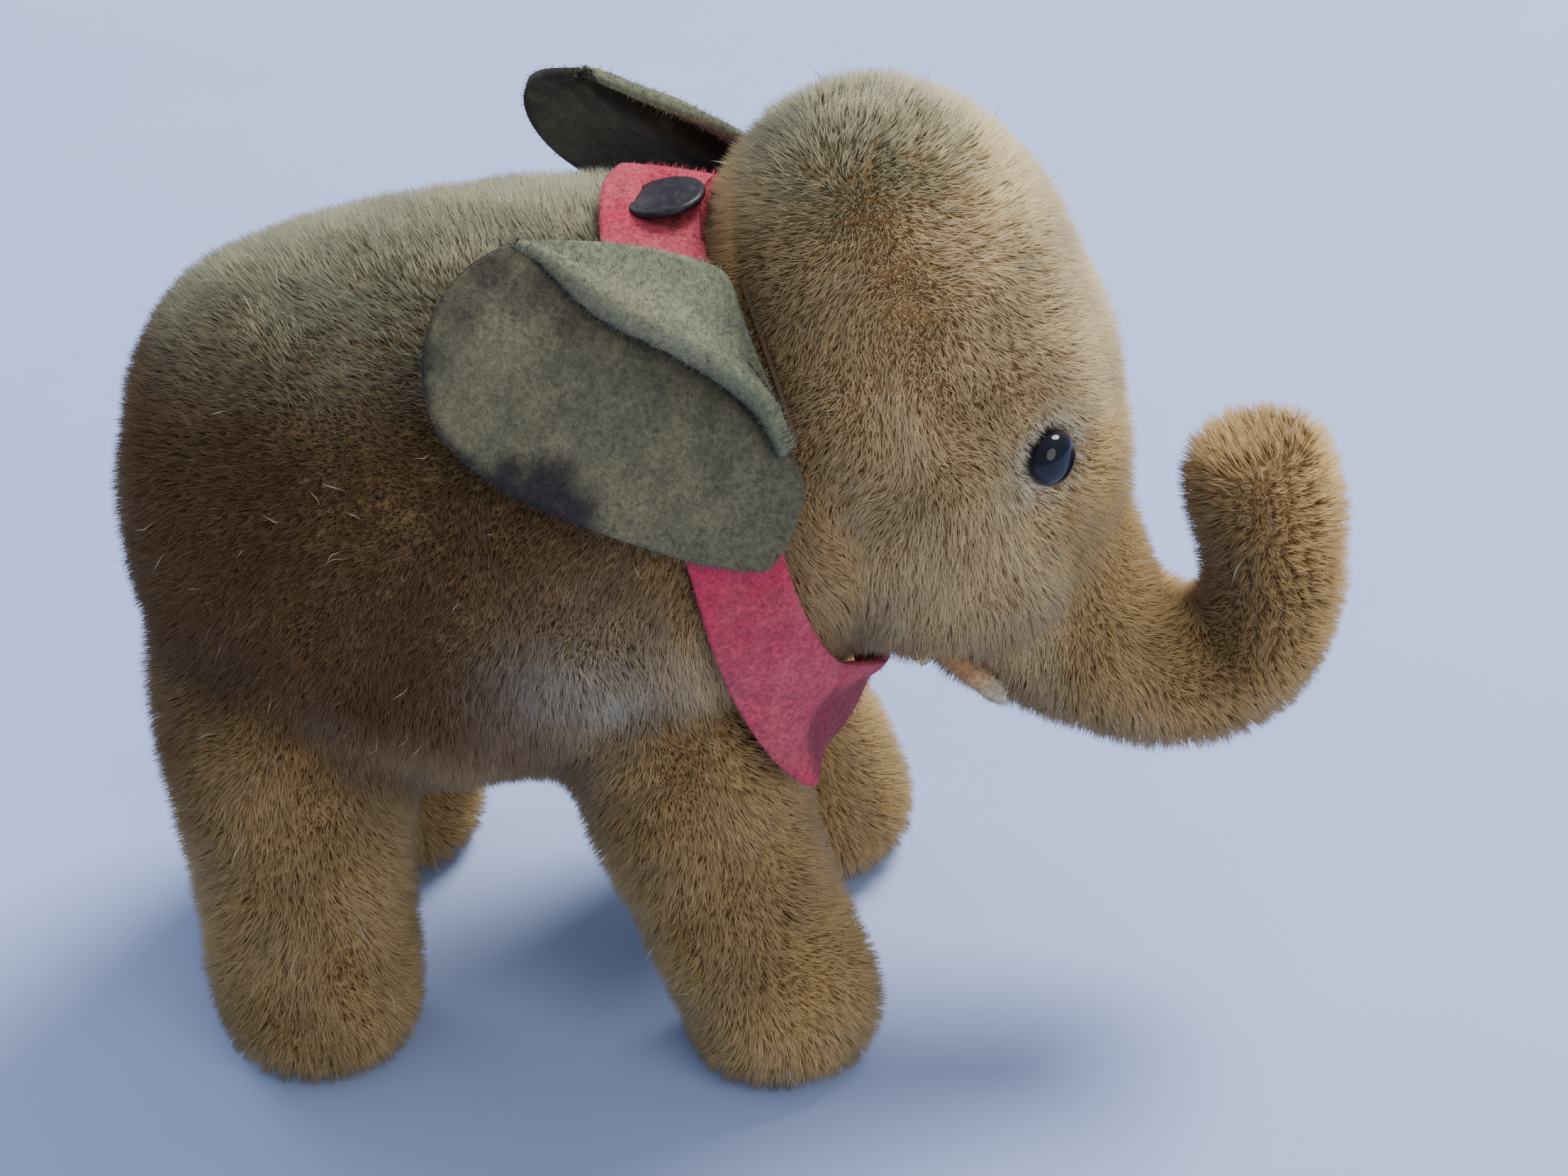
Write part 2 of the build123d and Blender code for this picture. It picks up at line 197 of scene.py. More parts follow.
def points_of(mesh):
    values = np.empty(3 * len(mesh.vertices), np.float32)
    mesh.vertices.foreach_get("co", values)
    return values.reshape(-1, 3).astype(float)


def triangles_of(mesh):
    mesh.calc_loop_triangles()
    values = np.empty(3 * len(mesh.loop_triangles), np.int32)
    mesh.loop_triangles.foreach_get("vertices", values)
    return values.reshape(-1, 3)


def vertex_normals(mesh):
    values = np.empty(3 * len(mesh.vertices), np.float32)
    mesh.vertex_normals.foreach_get("vector", values)
    return values.reshape(-1, 3).astype(float)


def joined(name, nodes):
    """One mesh that holds copies of several nodes' meshes."""
    points, triangles, start = [], [], 0
    for node in nodes:
        mesh = frame["nodes"][node].data
        points.append(points_of(mesh))
        triangles.append(triangles_of(mesh) + start)
        start += len(points[-1])
    return triangle_mesh(name, np.concatenate(points), np.concatenate(triangles))


def applied(made, *modifiers):
    """The object with these modifiers, each a type and its settings, applied to its mesh."""
    for kind, settings in modifiers:
        modifier = made.modifiers.new(kind, kind)
        for key, value in settings.items():
            setattr(modifier, key, value)
    bpy.context.view_layer.update()
    mesh = bpy.data.meshes.new_from_object(made.evaluated_get(bpy.context.evaluated_depsgraph_get()))
    made.modifiers.clear()
    made.data = mesh
    return made


def keep_largest(mesh):
    """Removes every loose shell but the one with the most faces."""
    work = bmesh.new()
    work.from_mesh(mesh)
    left = set(work.faces)
    best = set()
    while left:
        seed = next(iter(left))
        shell, edge = {seed}, [seed]
        while edge:
            face = edge.pop()
            for side in face.edges:
                for other in side.link_faces:
                    if other not in shell:
                        shell.add(other)
                        edge.append(other)
        left -= shell
        if len(shell) > len(best):
            best = shell
    bmesh.ops.delete(work, geom=[f for f in work.faces if f not in best], context="FACES")
    work.to_mesh(mesh)
    work.free()


def closed(mesh, weld=0.0):
    """Welds points nearer than weld, turns every face outward and shades the mesh smooth."""
    work = bmesh.new()
    work.from_mesh(mesh)
    if weld:
        bmesh.ops.remove_doubles(work, verts=work.verts, dist=weld)
    bmesh.ops.recalc_face_normals(work, faces=work.faces)
    work.to_mesh(mesh)
    work.free()
    mesh.polygons.foreach_set("use_smooth", np.ones(len(mesh.polygons), bool))


def unit(vectors):
    return vectors / np.maximum(np.linalg.norm(vectors, axis=-1, keepdims=True), 1e-12)


def scattered(mesh, count, dice):
    """Points spread evenly over a mesh, with their smooth normals."""
    points, triangles, normals = points_of(mesh), triangles_of(mesh), vertex_normals(mesh)
    corners = points[triangles]
    area = np.linalg.norm(np.cross(corners[:, 1] - corners[:, 0], corners[:, 2] - corners[:, 0]), axis=1)
    picked = dice.choice(len(triangles), count, p=area / area.sum())
    first, second = dice.random(count), dice.random(count)
    over = first + second > 1
    first[over], second[over] = 1 - first[over], 1 - second[over]
    weights = np.stack([1 - first - second, first, second], axis=1)[:, :, None]
    place = (points[triangles[picked]] * weights).sum(axis=1)
    facing = unit((normals[triangles[picked]] * weights).sum(axis=1))
    return place, facing


def waves(points, scale, seed, channels=3):
    """Smooth pseudo-random values near -1 to 1 at points, from a few sine waves."""
    dice = np.random.default_rng(seed)
    total = np.zeros((len(points), channels))
    for octave, share in ((1.0, 0.5), (1.9, 0.3), (3.7, 0.2)):
        for channel in range(channels):
            turns = dice.normal(size=(3, 3)) * octave / scale
            shifts = dice.random(3) * 2 * math.pi
            total[:, channel] += share * np.sin(points @ turns.T + shifts).sum(axis=1) * 0.8
    return total


def tufts(name, root, middle, tip, width, bent, colours, dice):
    """A closed three-sided spike at each root, straight or with one bend, coloured along its length."""
    spin = dice.random(len(root)) * 2 * math.pi
    along = unit(tip - root)
    helper = np.where(np.abs(along[:, 2:3]) > 0.8, np.array([[1.0, 0, 0]]), np.array([[0, 0, 1.0]]))
    side = unit(np.cross(along, helper))
    other = np.cross(along, side)
    points, triangles, shades, cells, start = [], [], [], [], 0
    columns = math.ceil(math.sqrt(len(root)))
    for chosen, levels in ((~bent, 1), (bent, 2)):
        count = int(chosen.sum())
        if count == 0:
            continue
        index = np.flatnonzero(chosen)
        ring = []
        heights = []
        for level in range(levels):
            centre = (root if level == 0 else middle)[index]
            radius = (width if level == 0 else width * 0.62)[index][:, None] * 0.577
            for corner in range(3):
                angle = (spin[index] + corner * 2 * math.pi / 3)[:, None]
                ring.append(centre + radius * (np.cos(angle) * side[index] + np.sin(angle) * other[index]))
                heights.append(0.0 if level == 0 else 0.5)
        ring.append(tip[index])
        heights.append(1.0)
        block = np.stack(ring, axis=1)
        per = block.shape[1]
        pattern = [(2, 1, 0)]
        for level in range(levels - 1):
            low = 3 * level
            for corner in range(3):
                after = (corner + 1) % 3
                pattern.append((low + corner, low + after, low + 3 + after))
                pattern.append((low + corner, low + 3 + after, low + 3 + corner))
        last = 3 * (levels - 1)
        for corner in range(3):
            pattern.append((last + corner, last + (corner + 1) % 3, per - 1))
        faces = np.array(pattern)[None] + (np.arange(count) * per)[:, None, None] + start
        points.append(block.reshape(-1, 3))
        triangles.append(faces.reshape(-1, 3))
        rise = np.array(heights)[None, :, None]
        # darker at the root as painted shade where the tufts crowd, a little paler at the tip
        tone = colours[index][:, None, :] * (0.90 + 0.16 * rise)
        shades.append(tone.reshape(-1, 3))
        across = np.array([0.15, 0.5, 0.85] * levels + [0.5])[None, :]
        u = ((index % columns)[:, None] + across) / columns
        v = ((index // columns)[:, None] + 0.12 + 0.76 * np.array(heights)[None, :]) / columns
        cells.append(np.stack([u, v], axis=2).reshape(-1, 2))
        start += count * per
    points, triangles = np.concatenate(points), np.concatenate(triangles)
    shades, cells = np.concatenate(shades), np.concatenate(cells)
    mesh = triangle_mesh(name, points, triangles)
    paint(mesh, "tone", shades)
    layer = mesh.uv_layers.new(name="OFBake")
    layer.data.foreach_set("uv", cells[triangles.ravel()].astype(np.float32).ravel())
    return mesh


def paint(mesh, name, colours):
    """A colour for each point of a mesh."""
    attribute = mesh.color_attributes.new(name, "FLOAT_COLOR", "POINT")
    full = np.ones((len(mesh.vertices), 4), np.float32)
    full[:, :3] = np.clip(colours, 0, 1)
    attribute.data.foreach_set("color", full.ravel())


# ---------------------------------------------------------------- materials

class Shader:
    """A node material built step by step."""

    def __init__(self, name):
        self.material = bpy.data.materials.new(name)
        self.material.use_nodes = True
        self.tree = self.material.node_tree
        self.surface = self.tree.nodes["Principled BSDF"]

    def node(self, kind, inputs=(), **settings):
        made = self.tree.nodes.new(kind)
        for key, value in settings.items():
            setattr(made, key, value)
        for socket, value in inputs:
            self.feed(made, socket, value)
        return made

    def feed(self, node, socket, value):
        if isinstance(value, bpy.types.NodeSocket):
            self.tree.links.new(value, node.inputs[socket])
        else:
            node.inputs[socket].default_value = value

    def noise(self, scale, detail=3.0, rough=0.6):
        place = self.node("ShaderNodeTexCoord").outputs["Object"]
        made = self.node("ShaderNodeTexNoise", [("Vector", place), ("Scale", scale), ("Detail", detail),
                                               ("Roughness", rough)])
        return made.outputs["Fac"]

    def mix(self, share, first, second, blend="MIX"):
        made = self.node("ShaderNodeMix", data_type="RGBA", blend_type=blend)
        for socket, value in ((0, share), (6, first), (7, second)):
            self.feed(made, socket, value)
        return made.outputs[2]

    def steps(self, value, low, high):
        made = self.node("ShaderNodeMapRange", [("Value", value), ("From Min", low), ("From Max", high)])
        return made.outputs["Result"]

    def painted(self, name):
        return self.node("ShaderNodeVertexColor", layer_name=name).outputs["Color"]

    def bump(self, height, strength, distance):
        made = self.node("ShaderNodeBump", [("Height", height), ("Strength", strength), ("Distance", distance)])
        self.feed(self.surface, "Normal", made.outputs["Normal"])

    def finish(self, **sockets):
        for socket, value in sockets.items():
            self.feed(self.surface, socket.replace("_", " "), value)
        return self.material


def rgba(values, strength=1.0):
    return (*[channel * strength for channel in values], 1.0)


def pile_material():
    shader = Shader("mohair_tufts")
    tone = shader.painted("tone")
    spots = shader.steps(shader.noise(900, 4), 0.3, 0.7)
    uneven = shader.mix(spots, rgba((0.84, 0.84, 0.85)), rgba((1.12, 1.1, 1.06)))
    colour_out = shader.mix(1.0, tone, uneven, "MULTIPLY")
    return shader.finish(Base_Color=colour_out, Roughness=0.55, Specular_IOR_Level=0.25, Sheen_Weight=0.06,
                         Sheen_Roughness=0.4)


def backing_material(settings):
    shader = Shader("woven_backing")
    weave = shader.noise(2600, 2)
    colour_out = shader.mix(weave, rgba(settings.backing, 0.6), rgba(settings.backing, 1.6))
    shader.bump(weave, 0.6, 0.0002)
    return shader.finish(Base_Color=colour_out, Roughness=0.95, Specular_IOR_Level=0.1)


def felt_material(name, attribute="tone", strength=0.9):
    """Pressed wool: painted colour broken up by fine fibres and soft blotches."""
    shader = Shader(name)
    tone = shader.painted(attribute)
    fibres = shader.noise(2100, 7, 0.8)
    blotches = shader.noise(420, 3)
    fine = shader.mix(shader.steps(fibres, 0.32, 0.68), rgba((0.45, 0.45, 0.47)), rgba((1.55, 1.52, 1.44)))
    soft = shader.mix(shader.steps(blotches, 0.3, 0.7), rgba((0.82, 0.82, 0.84)), rgba((1.14, 1.13, 1.08)))
    colour_out = shader.mix(1.0, shader.mix(1.0, tone, fine, "MULTIPLY"), soft, "MULTIPLY")
    shader.bump(fibres, strength, 0.00022)
    return shader.finish(Base_Color=colour_out, Roughness=0.92, Specular_IOR_Level=0.12, Sheen_Weight=0.08,
                         Sheen_Roughness=0.6)


def thread_material(name, tint):
    shader = Shader(name)
    twist = shader.noise(3800, 2)
    colour_out = shader.mix(twist, rgba(tint, 0.55), rgba(tint, 1.5))
    shader.bump(twist, 0.7, 0.0001)
    return shader.finish(Base_Color=colour_out, Roughness=0.85, Specular_IOR_Level=0.2)


# ---------------------------------------------------------------- skin and pile

def skin_surface(settings):
    """The woven backing: all soft nodes as one closed surface, drawn in under the pile."""
    skin = add_object("plush_skin", joined("plush_skin", SKIN_NODES))
    applied(skin, ("REMESH", {"mode": "VOXEL", "voxel_size": 0.8 * MM}))
    keep_largest(skin.data)
    applied(skin, ("SMOOTH", {"factor": 0.5, "iterations": 5}),
            ("DISPLACE", {"strength": -settings.inset, "mid_level": 0.0}),
            ("SMOOTH", {"factor": 0.5, "iterations": 4}))
    skin.data.polygons.foreach_set("use_smooth", np.ones(len(skin.data.polygons), bool))
    return skin


def ramp(values, low, high):
    """0 below low, 1 above high, and a smooth rise between."""
    share = np.clip((values - low) / (high - low), 0, 1)
    return share * share * (3 - 2 * share)


def near(values, centre, spread):
    """1 at centre, falling smoothly to 0 a spread away."""
    return np.exp(-((values - centre) / spread) ** 2)


def mirrored(place, side):
    """A place on the left side, in metres, or its mirror image on the right."""
    return np.array([place[0], side * place[1], place[2]]) * MM


def limb_of(place):
    """The region that each point belongs to."""
    x, _, z = (place / MM).T
    region = np.full(len(place), BODY)
    region[(x > 6.5 - 0.02 * z) & (z > 38 + 0.55 * np.clip(12 - x, 0, 9))] = HEAD
    region[(x > 29) & (z < 60)] = TRUNK
    region[(x > 16) & (z < 42) & (region != TRUNK)] = HEAD
    low = z < 32
    region[low & (x < -26)] = HIND_LEG
    region[low & (x >= -26) & (x < 16)] = FRONT_LEG
    return region


def pile_flow(place, facing):
    """Which way the pile is combed at each point, and how far it leans over, from 0 to 1."""
    y = place[:, 1] / MM
    region = limb_of(place)
    head, trunk, legs = region == HEAD, region == TRUNK, region >= FRONT_LEG
    flow = np.tile(np.array([-0.45, 0.0, -0.9]), (len(place), 1))
    flow[head] = (unit(place / MM - CROWN) + np.array([-0.25, 0, -0.2]))[head]
    spoke = unit((place / MM - TRUNK_CURL) * np.array([1, 0.2, 1]))
    around = np.stack([-spoke[:, 2], np.zeros(len(place)), spoke[:, 0]], axis=1)
    flow[trunk] = (around * 0.8 + spoke * 0.5)[trunk]
    flow[legs] = [0.1, 0, -1.0]
    lean = np.full(len(place), 0.2)
    lean[trunk] = 0.3
    lean[legs] = 0.26

    offset = place / MM - WHORL * np.stack([np.ones(len(y)), np.sign(y), np.ones(len(y))], axis=1)
    strength = near(np.linalg.norm(offset, axis=1), 0, 7.0)[:, None]
    swirl = unit(np.cross(facing, offset)) * 0.9 + unit(offset) * 0.6
    flow = flow * (1 - strength) + swirl * strength

    off_seam = np.abs(y) - 5.5
    parting = near(off_seam, 0, 1.6) * head * (facing[:, 2] > -0.2) * np.sign(off_seam) * np.sign(y)
    flow[:, 1] += parting
    flow = flow - (flow * facing).sum(axis=1, keepdims=True) * facing
    return unit(flow), lean


def pile_tone(place, facing, settings, dice):
    """A colour for each tuft, by place and by chance."""
    spot = place / MM
    x, y, z = spot.T
    width, upward = np.abs(y), facing[:, 2]
    region = limb_of(place)
    head, trunk = region == HEAD, region == TRUNK
    barrel = ~head & ~trunk
    flank_and_shade = np.array(settings.flank_and_shade)
    tone = np.tile(np.array(settings.tan), (len(place), 1))
    mottle = waves(place, 6.0 * MM, 23, 1)[:, 0]

    def cover(share, shade):
        share = np.clip(share, 0, 1)[:, None]
        return tone * (1 - share) + np.array(shade) * share

    # legs deepen towards the feet, more so behind; the head is a little paler than the rest
    low = ramp(-z + 3 * mottle, -40, -24) * barrel
    tone = tone * (1 - (0.2 + 0.06 * ramp(-x, 10, 30)) * low)[:, None]
    tone = cover(0.35 * head, settings.head)
    # darker flanks, partly painted shade from the ears; painted highlight on the upward-facing back and crown;
    # greyish whorl at the shoulder with a painted highlight; painted shade on the downward-facing belly
    side = ramp(z + 4 * mottle, 17, 44) * ramp(-x + 3 * mottle, -3, 12) * barrel
    # darker side pile, partly painted shade where the ears shadow the flanks
    tone = cover(0.95 * side, flank_and_shade)
    # painted highlight: pile that faces upward takes the pale back and crown colour
    tone = cover(ramp(upward + 0.06 * mottle, 0.5, 0.93) * ~trunk, settings.top)
    shoulder = near(np.linalg.norm((spot - [-9, 0, 45]) * [1, 0, 1], axis=1), 0, 7.5)
    # greyish whorl at the shoulder, partly a painted highlight
    tone = cover(0.75 * shoulder * (width > 12), settings.whorl)
    # painted shade: pile facing downward near the middle takes the darker underside colour
    tone = cover(0.8 * ramp(-upward, 0.1, 0.7) * ramp(-width, -17, -10), settings.under)
    # pale forehead with a painted highlight, painted shade inside the trunk's curl, brown at the trunk's tip,
    # painted shadow of the ears on the head behind them, pale ring round the eyes
    # paler forehead, partly a painted highlight
    tone = cover(0.45 * near(np.linalg.norm(spot - [27, 0, 72], axis=1), 0, 15.0), settings.brow_and_highlight)
    spoke = unit((spot - TRUNK_CURL) * np.array([1, 0.2, 1]))
    # painted shade inside the trunk's curl, on the pile that faces the curl's middle
    inner = trunk * ramp(x + 2 * mottle, 33, 43) * ramp(-(facing * spoke).sum(axis=1), -0.55, 0.5)
    tone = cover(0.72 * inner, settings.trunk_curl_shade)
    end = trunk * ramp(x, 38, 42) * ramp(z, 52, 57) * ramp(-x, -55, -48)
    tone = cover(0.8 * end, settings.trunk_end)
    # painted shadow of the ears: darker pile on the head just behind the ear roots
    tone = cover(0.75 * head * near(x, 4.5, 6.5) * ramp(-upward, -0.75, -0.2), flank_and_shade * 1.4)
    eye = np.linalg.norm(np.stack([x, width, z], axis=1) - EYE, axis=1)
    tone = cover(0.8 * near(eye, 2.0, 1.9), settings.eye_ring)

    tone = tone * (1 + 0.14 * waves(place, 5.0 * MM, 21, 1))
    chance = dice.random(len(place))[:, None]
    tone = tone * (0.88 + 0.26 * dice.random(len(place))[:, None])
    tone = np.where(chance < 0.12, tone * 1.15 + 0.05, tone)
    tone = np.where(chance > 0.93, tone * 0.68, tone)
    return tone


def spared(place, facing, reach, covers):
    """How long a tuft may be at each point before it would reach a piece that lies on the pile."""
    room = np.full(len(place), 1.0)
    for points, triangles in covers:
        low, high = points.min(axis=0) - reach, points.max(axis=0) + reach
        tree = BVHTree.FromPolygons(points.tolist(), triangles.tolist())
        close = np.flatnonzero(((place > low) & (place < high)).all(axis=1))
        for index in close:
            hit = tree.ray_cast(Vector(place[index]), Vector(facing[index]), reach)
            if hit[0] is not None:
                room[index] = min(room[index], max(hit[3] - 0.25 * MM, 0) / reach)
            elif tree.find_nearest(Vector(place[index]), 0.5 * MM)[0] is not None:
                room[index] = 0.0
    return room


def pile_covers(names):
    """What lies on the pile, as points and triangles: the named pieces, and the ears as they swing open."""
    shapes = []
    for name in names:
        mesh = bpy.data.objects[name].data
        shapes.append((points_of(mesh), triangles_of(mesh)))
    for joint in frame["joints"]:
        felt = bpy.data.objects.get(joint["child"].replace("ear_", "ear_felt_"))
        if felt is None:
            continue
        pivot = np.array(joint["pos_m"])
        for share in (0.35, 0.7, 1.0):
            turn = Matrix.Rotation(math.radians(joint["range_deg"][1] * share), 3, Vector(joint["axis"]))
            shapes.append(((points_of(felt.data) - pivot) @ np.array(turn).T + pivot, triangles_of(felt.data)))
    return shapes


def gathered(values, clump, members):
    """The mean of each clump's values, for each of its members."""
    means = [np.bincount(clump, values[:, axis]) / members for axis in range(3)]
    return np.stack(means, axis=1)[clump]


def grow_pile(skin, settings, covers):
    """The mohair: tufts over the whole backing, in pieces by region."""
    dice = np.random.default_rng(settings.seed)
    place, facing = scattered(skin.data, settings.fibres, dice)
    keep = place[:, 2] > 0.9 * MM
    for side in SIDES.values():
        keep &= np.linalg.norm(place - mirrored(EYE_BALD, side), axis=1) > 2.45 * MM
    place, facing = place[keep], facing[keep]

    flow, lean = pile_flow(place, facing)
    count = len(place)
    sweep = waves(place, 2.0 * MM, 11)
    sweep -= (sweep * facing).sum(axis=1, keepdims=True) * facing
    scatter = dice.normal(size=(count, 3)) * 0.2
    lean = np.clip(lean + 0.1 * waves(place, 6 * MM, 12, 1)[:, 0], 0.1, 0.8)[:, None]
    comb = flow * lean + sweep * 0.24 + scatter
    region = limb_of(place)

    size = settings.long * (0.74 + 0.45 * dice.random(count)) * (1 + 0.1 * waves(place, 4 * MM, 14, 1)[:, 0])
    size *= np.where(place[:, 2] < 7 * MM, 0.95, 1.0)
    for side in SIDES.values():
        size *= 1 - 0.55 * near(np.linalg.norm(place - mirrored(EYE, side), axis=1), 0, 4.2 * MM)
    size *= np.clip(spared(place, unit(facing + comb * 0.5), settings.long, covers), 0, 1)
    stays = size > 0.5 * MM
    place, facing, comb, size, region = place[stays], facing[stays], comb[stays], size[stays], region[stays]
    count = len(place)

    # tufts that start in one uneven cell lean together into a clump, most of all on the trunk and feet
    cell = np.floor((place + waves(place, 1.7 * MM, 31) * 0.55 * MM) / (1.3 * MM)).astype(int)
    _, clump = np.unique(cell, axis=0, return_inverse=True)
    clump = clump.ravel()
    members = np.bincount(clump).astype(float)
    tip = place + unit(facing + comb) * size[:, None]
    centre, heart = gathered(place, clump, members), gathered(tip, clump, members)
    on_trunk = (region == TRUNK) * ramp(place[:, 0], 36 * MM, 44 * MM)
    ragged = np.maximum(on_trunk, ramp(-place[:, 2], -9 * MM, -3 * MM))
    pull = (0.1 + 0.24 * dice.random(count) + 0.3 * ragged)[:, None]
    tip = tip * (1 - pull) + heart * pull
    middle = place + unit(facing * 1.25 + comb * 0.55) * size[:, None] * 0.55
    middle = middle * (1 - pull * 0.35) + (centre + facing * size[:, None] * 0.5) * pull * 0.35
    tip[:, 2] = np.maximum(tip[:, 2], FLOOR_GAP)
    middle[:, 2] = np.maximum(middle[:, 2], FLOOR_GAP)

    width = settings.wide * (0.7 + 0.6 * dice.random(count))
    bent = dice.random(count) < settings.bent_share
    tone = pile_tone(place, facing, settings, dice)
    material = pile_material()
    free = size > 0.8 * settings.long
    stray_hairs(place[free], facing[free], comb[free], settings, material)
    arrays = (place, middle, tip, width, bent, tone)
    for number, name in enumerate(REGIONS):
        for side, sign in SIDES.items():
            chosen = (region == number) & ((place[:, 1] >= 0) == (sign > 0))
            pile_pieces(f"pile_{name}_{side}", chosen, arrays, dice, material)


def stray_hairs(place, facing, comb, settings, material):
    """A few longer hairs that stand out of the pile, pale ones all over and dark ones round the crown."""
    dice = np.random.default_rng(settings.seed + 1)
    crown = np.linalg.norm(place / MM - [20, 0, 80], axis=1) < 17
    rump = (place[:, 0] < -38 * MM) & (facing[:, 2] > 0)
    pale = dice.choice(len(place), 300, replace=False)
    dark = dice.choice(np.flatnonzero(crown | rump), 90, replace=False)
    chosen = np.concatenate([pale, dark])
    root, aim = place[chosen], unit(facing[chosen] + comb[chosen] + dice.normal(size=(len(chosen), 3)) * 0.35)
    long = settings.long * (1.15 + 0.5 * dice.random(len(chosen)))[:, None]
    sway = dice.normal(size=(len(chosen), 3)) * 0.3 * MM
    middle, tip = root + aim * long * 0.6 + sway, root + aim * long
    middle[:, 2] = np.maximum(middle[:, 2], 2 * FLOOR_GAP)
    tip[:, 2] = np.maximum(tip[:, 2], 2 * FLOOR_GAP)
    shade = np.array([settings.pale_hair] * len(pale) + [settings.dark_hair] * len(dark))
    width = np.full(len(chosen), 0.09 * MM)
    mesh = tufts("pile_stray_hairs", root, middle, tip, width, np.ones(len(chosen), bool), shade, dice)
    mesh.materials.append(material)
    made = add_object("pile_stray_hairs", mesh)
    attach(made, "root")


def pile_pieces(name, chosen, arrays, dice, material):
    """The chosen tufts as one or more pieces, none too large."""
    index = np.flatnonzero(chosen)
    parts = max(1, math.ceil(len(index) / MOST_TUFTS))
    order = index[np.argsort(arrays[0][index][:, 0], kind="stable")]
    for number, share in enumerate(np.array_split(order, parts)):
        label = name if parts == 1 else f"{name}_{number + 1}"
        place, middle, tip, width, bent, tone = (array[share] for array in arrays)
        root = place - unit(tip - place) * ROOT_DEPTH
        root[:, 2] = np.maximum(root[:, 2], 1.5 * FLOOR_GAP)
        mesh = tufts(label, root, middle, tip, width, bent, tone, dice)
        mesh.materials.append(material)
        piece = add_object(label, mesh)
        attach(piece, "root")


# ---------------------------------------------------------------- felt pieces

EAR_ROOT_TOP = (3.6, 10.4, 77.0)
EAR_ROOT_LOW = (8.2, 16.6, 63.8)
EAR_OUTER = (-19.6, 23.5, 75.3)


def ear_axes(sign):
    """Corner, up-the-root, outward and away-from-the-body directions of an ear."""
    low, top, outer = (Vector(mirrored(place, sign)) for place in (EAR_ROOT_LOW, EAR_ROOT_TOP, EAR_OUTER))
    up = (top - low).normalized()
    away = up.cross(outer - low).normalized()
    if away.y * sign < 0:
        away = -away
    outward = away.cross(up).normalized()
    if outward.dot(outer - low) < 0:
        outward = -outward
    return low, up, outward, away


def smooth_line(points, count):
    """A smooth line through points, as count points spread along it."""
    points = np.array(points, float)
    ends = np.concatenate([2 * points[:1] - points[1:2], points, 2 * points[-1:] - points[-2:-1]])
    steps = np.linspace(0, len(points) - 1, count)
    first = np.minimum(steps.astype(int), len(points) - 2)
    share = (steps - first)[:, None]
    a, b, c, d = (ends[first + number] for number in range(4))
    return 0.5 * (2 * b + (c - a) * share + (2 * a - 5 * b + 4 * c - d) * share**2
                  + (3 * b - a - 3 * c + d) * share**3)


def even_line(points, count):
    """The same, spread evenly by length."""
    fine = smooth_line(points, 40 * len(points))
    gone = np.concatenate([[0], np.cumsum(np.linalg.norm(np.diff(fine, axis=0), axis=1))])
    ask = np.linspace(0, gone[-1], count)
    return np.stack([np.interp(ask, gone, fine[:, axis]) for axis in range(fine.shape[1])], axis=1)


def ear_sheet(rows, across):
    """The ear's felt in its own plane: up, outward and height, with a deep pleat along its upper edge."""
    ridge = even_line([(22.9, 15.8), (20.9, 14.1), (17.8, 12.4), (15.1, 10.4), (12.9, 8.1), (10.7, 5.9), (8.4, 3.9),
                       (6.1, 2.3), (4.0, 1.3), (1.9, 0.9), (0.4, 0.7)], rows)
    upper = even_line([(22.9, 16.0), (21.6, 11.6), (19.9, 7.4), (17.6, 3.3), (15.4, 0.6), (12.4, 0.3), (9.3, 0.3),
                       (6.3, 0.2), (4.0, 0.2), (2.2, 0.2), (0.9, 0.2)], rows)
    lower = even_line([(22.9, 16.2), (22.0, 20.4), (19.8, 23.7), (16.8, 25.8), (13.3, 26.7), (9.9, 26.3),
                       (6.4, 24.4), (2.9, 21.4), (-0.8, 17.1), (-4.2, 12.6), (-6.3, 9.4), (-8.2, 5.6),
                       (-8.1, 4.4), (-6.4, 2.2), (-3.8, 0.1), (-2.0, 0.0), (0.3, 0.3)], rows)
    along = np.linspace(0, 1, rows)
    grow = ramp(along, 0, 0.35)
    sheet = np.zeros((rows, across, 3))
    tags = np.zeros((rows, across))
    mark = 0.001
    for row in range(rows):
        out = upper[row] - ridge[row]
        span = np.linalg.norm(out)
        out = out / span if span > 0.3 else np.array([0.6, -0.8])
        deep = min(3.0 * grow[row], 0.45 * span + 0.1)
        rise = 0.35 + 1.25 * grow[row]
        down = lower[row] - ridge[row]
        reach = np.linalg.norm(down)
        knots = []
        for share in (1.0, 0.8, 0.6, 0.4, 0.2):
            spot = ridge[row] + down * share
            sag = 0.55 * math.sin(math.pi * share) * min(1, reach / 10)
            knots.append((*spot, 0.25 + sag, mark * len(knots)))
        folded = ((deep - 1.0, 0.05), (deep, 0.1), (deep + 0.45 * grow[row], 0.1 + 0.5 * rise), (deep, 0.1 + rise),
                  (0.2 + 0.3 * deep, 0.15 + rise), (-0.55 * grow[row], 0.15 + 1.45 * rise),
                  (min(0.5, 0.3 * span), 0.2 + 1.95 * rise))
        for reach, height in folded:
            knots.append((*(ridge[row] + out * reach), height, mark * len(knots)))
        for share in (0.4, 0.7, 1.0):
            height = (0.2 + 1.9 * rise) * (1 - share) ** 1.2 + 0.5 * share
            knots.append((*(ridge[row] + out * span * share), height, mark * len(knots)))
        line = even_line(knots, across)
        sheet[row] = line[:, :3]
        tags[row] = line[:, 3] / mark
    return sheet, tags


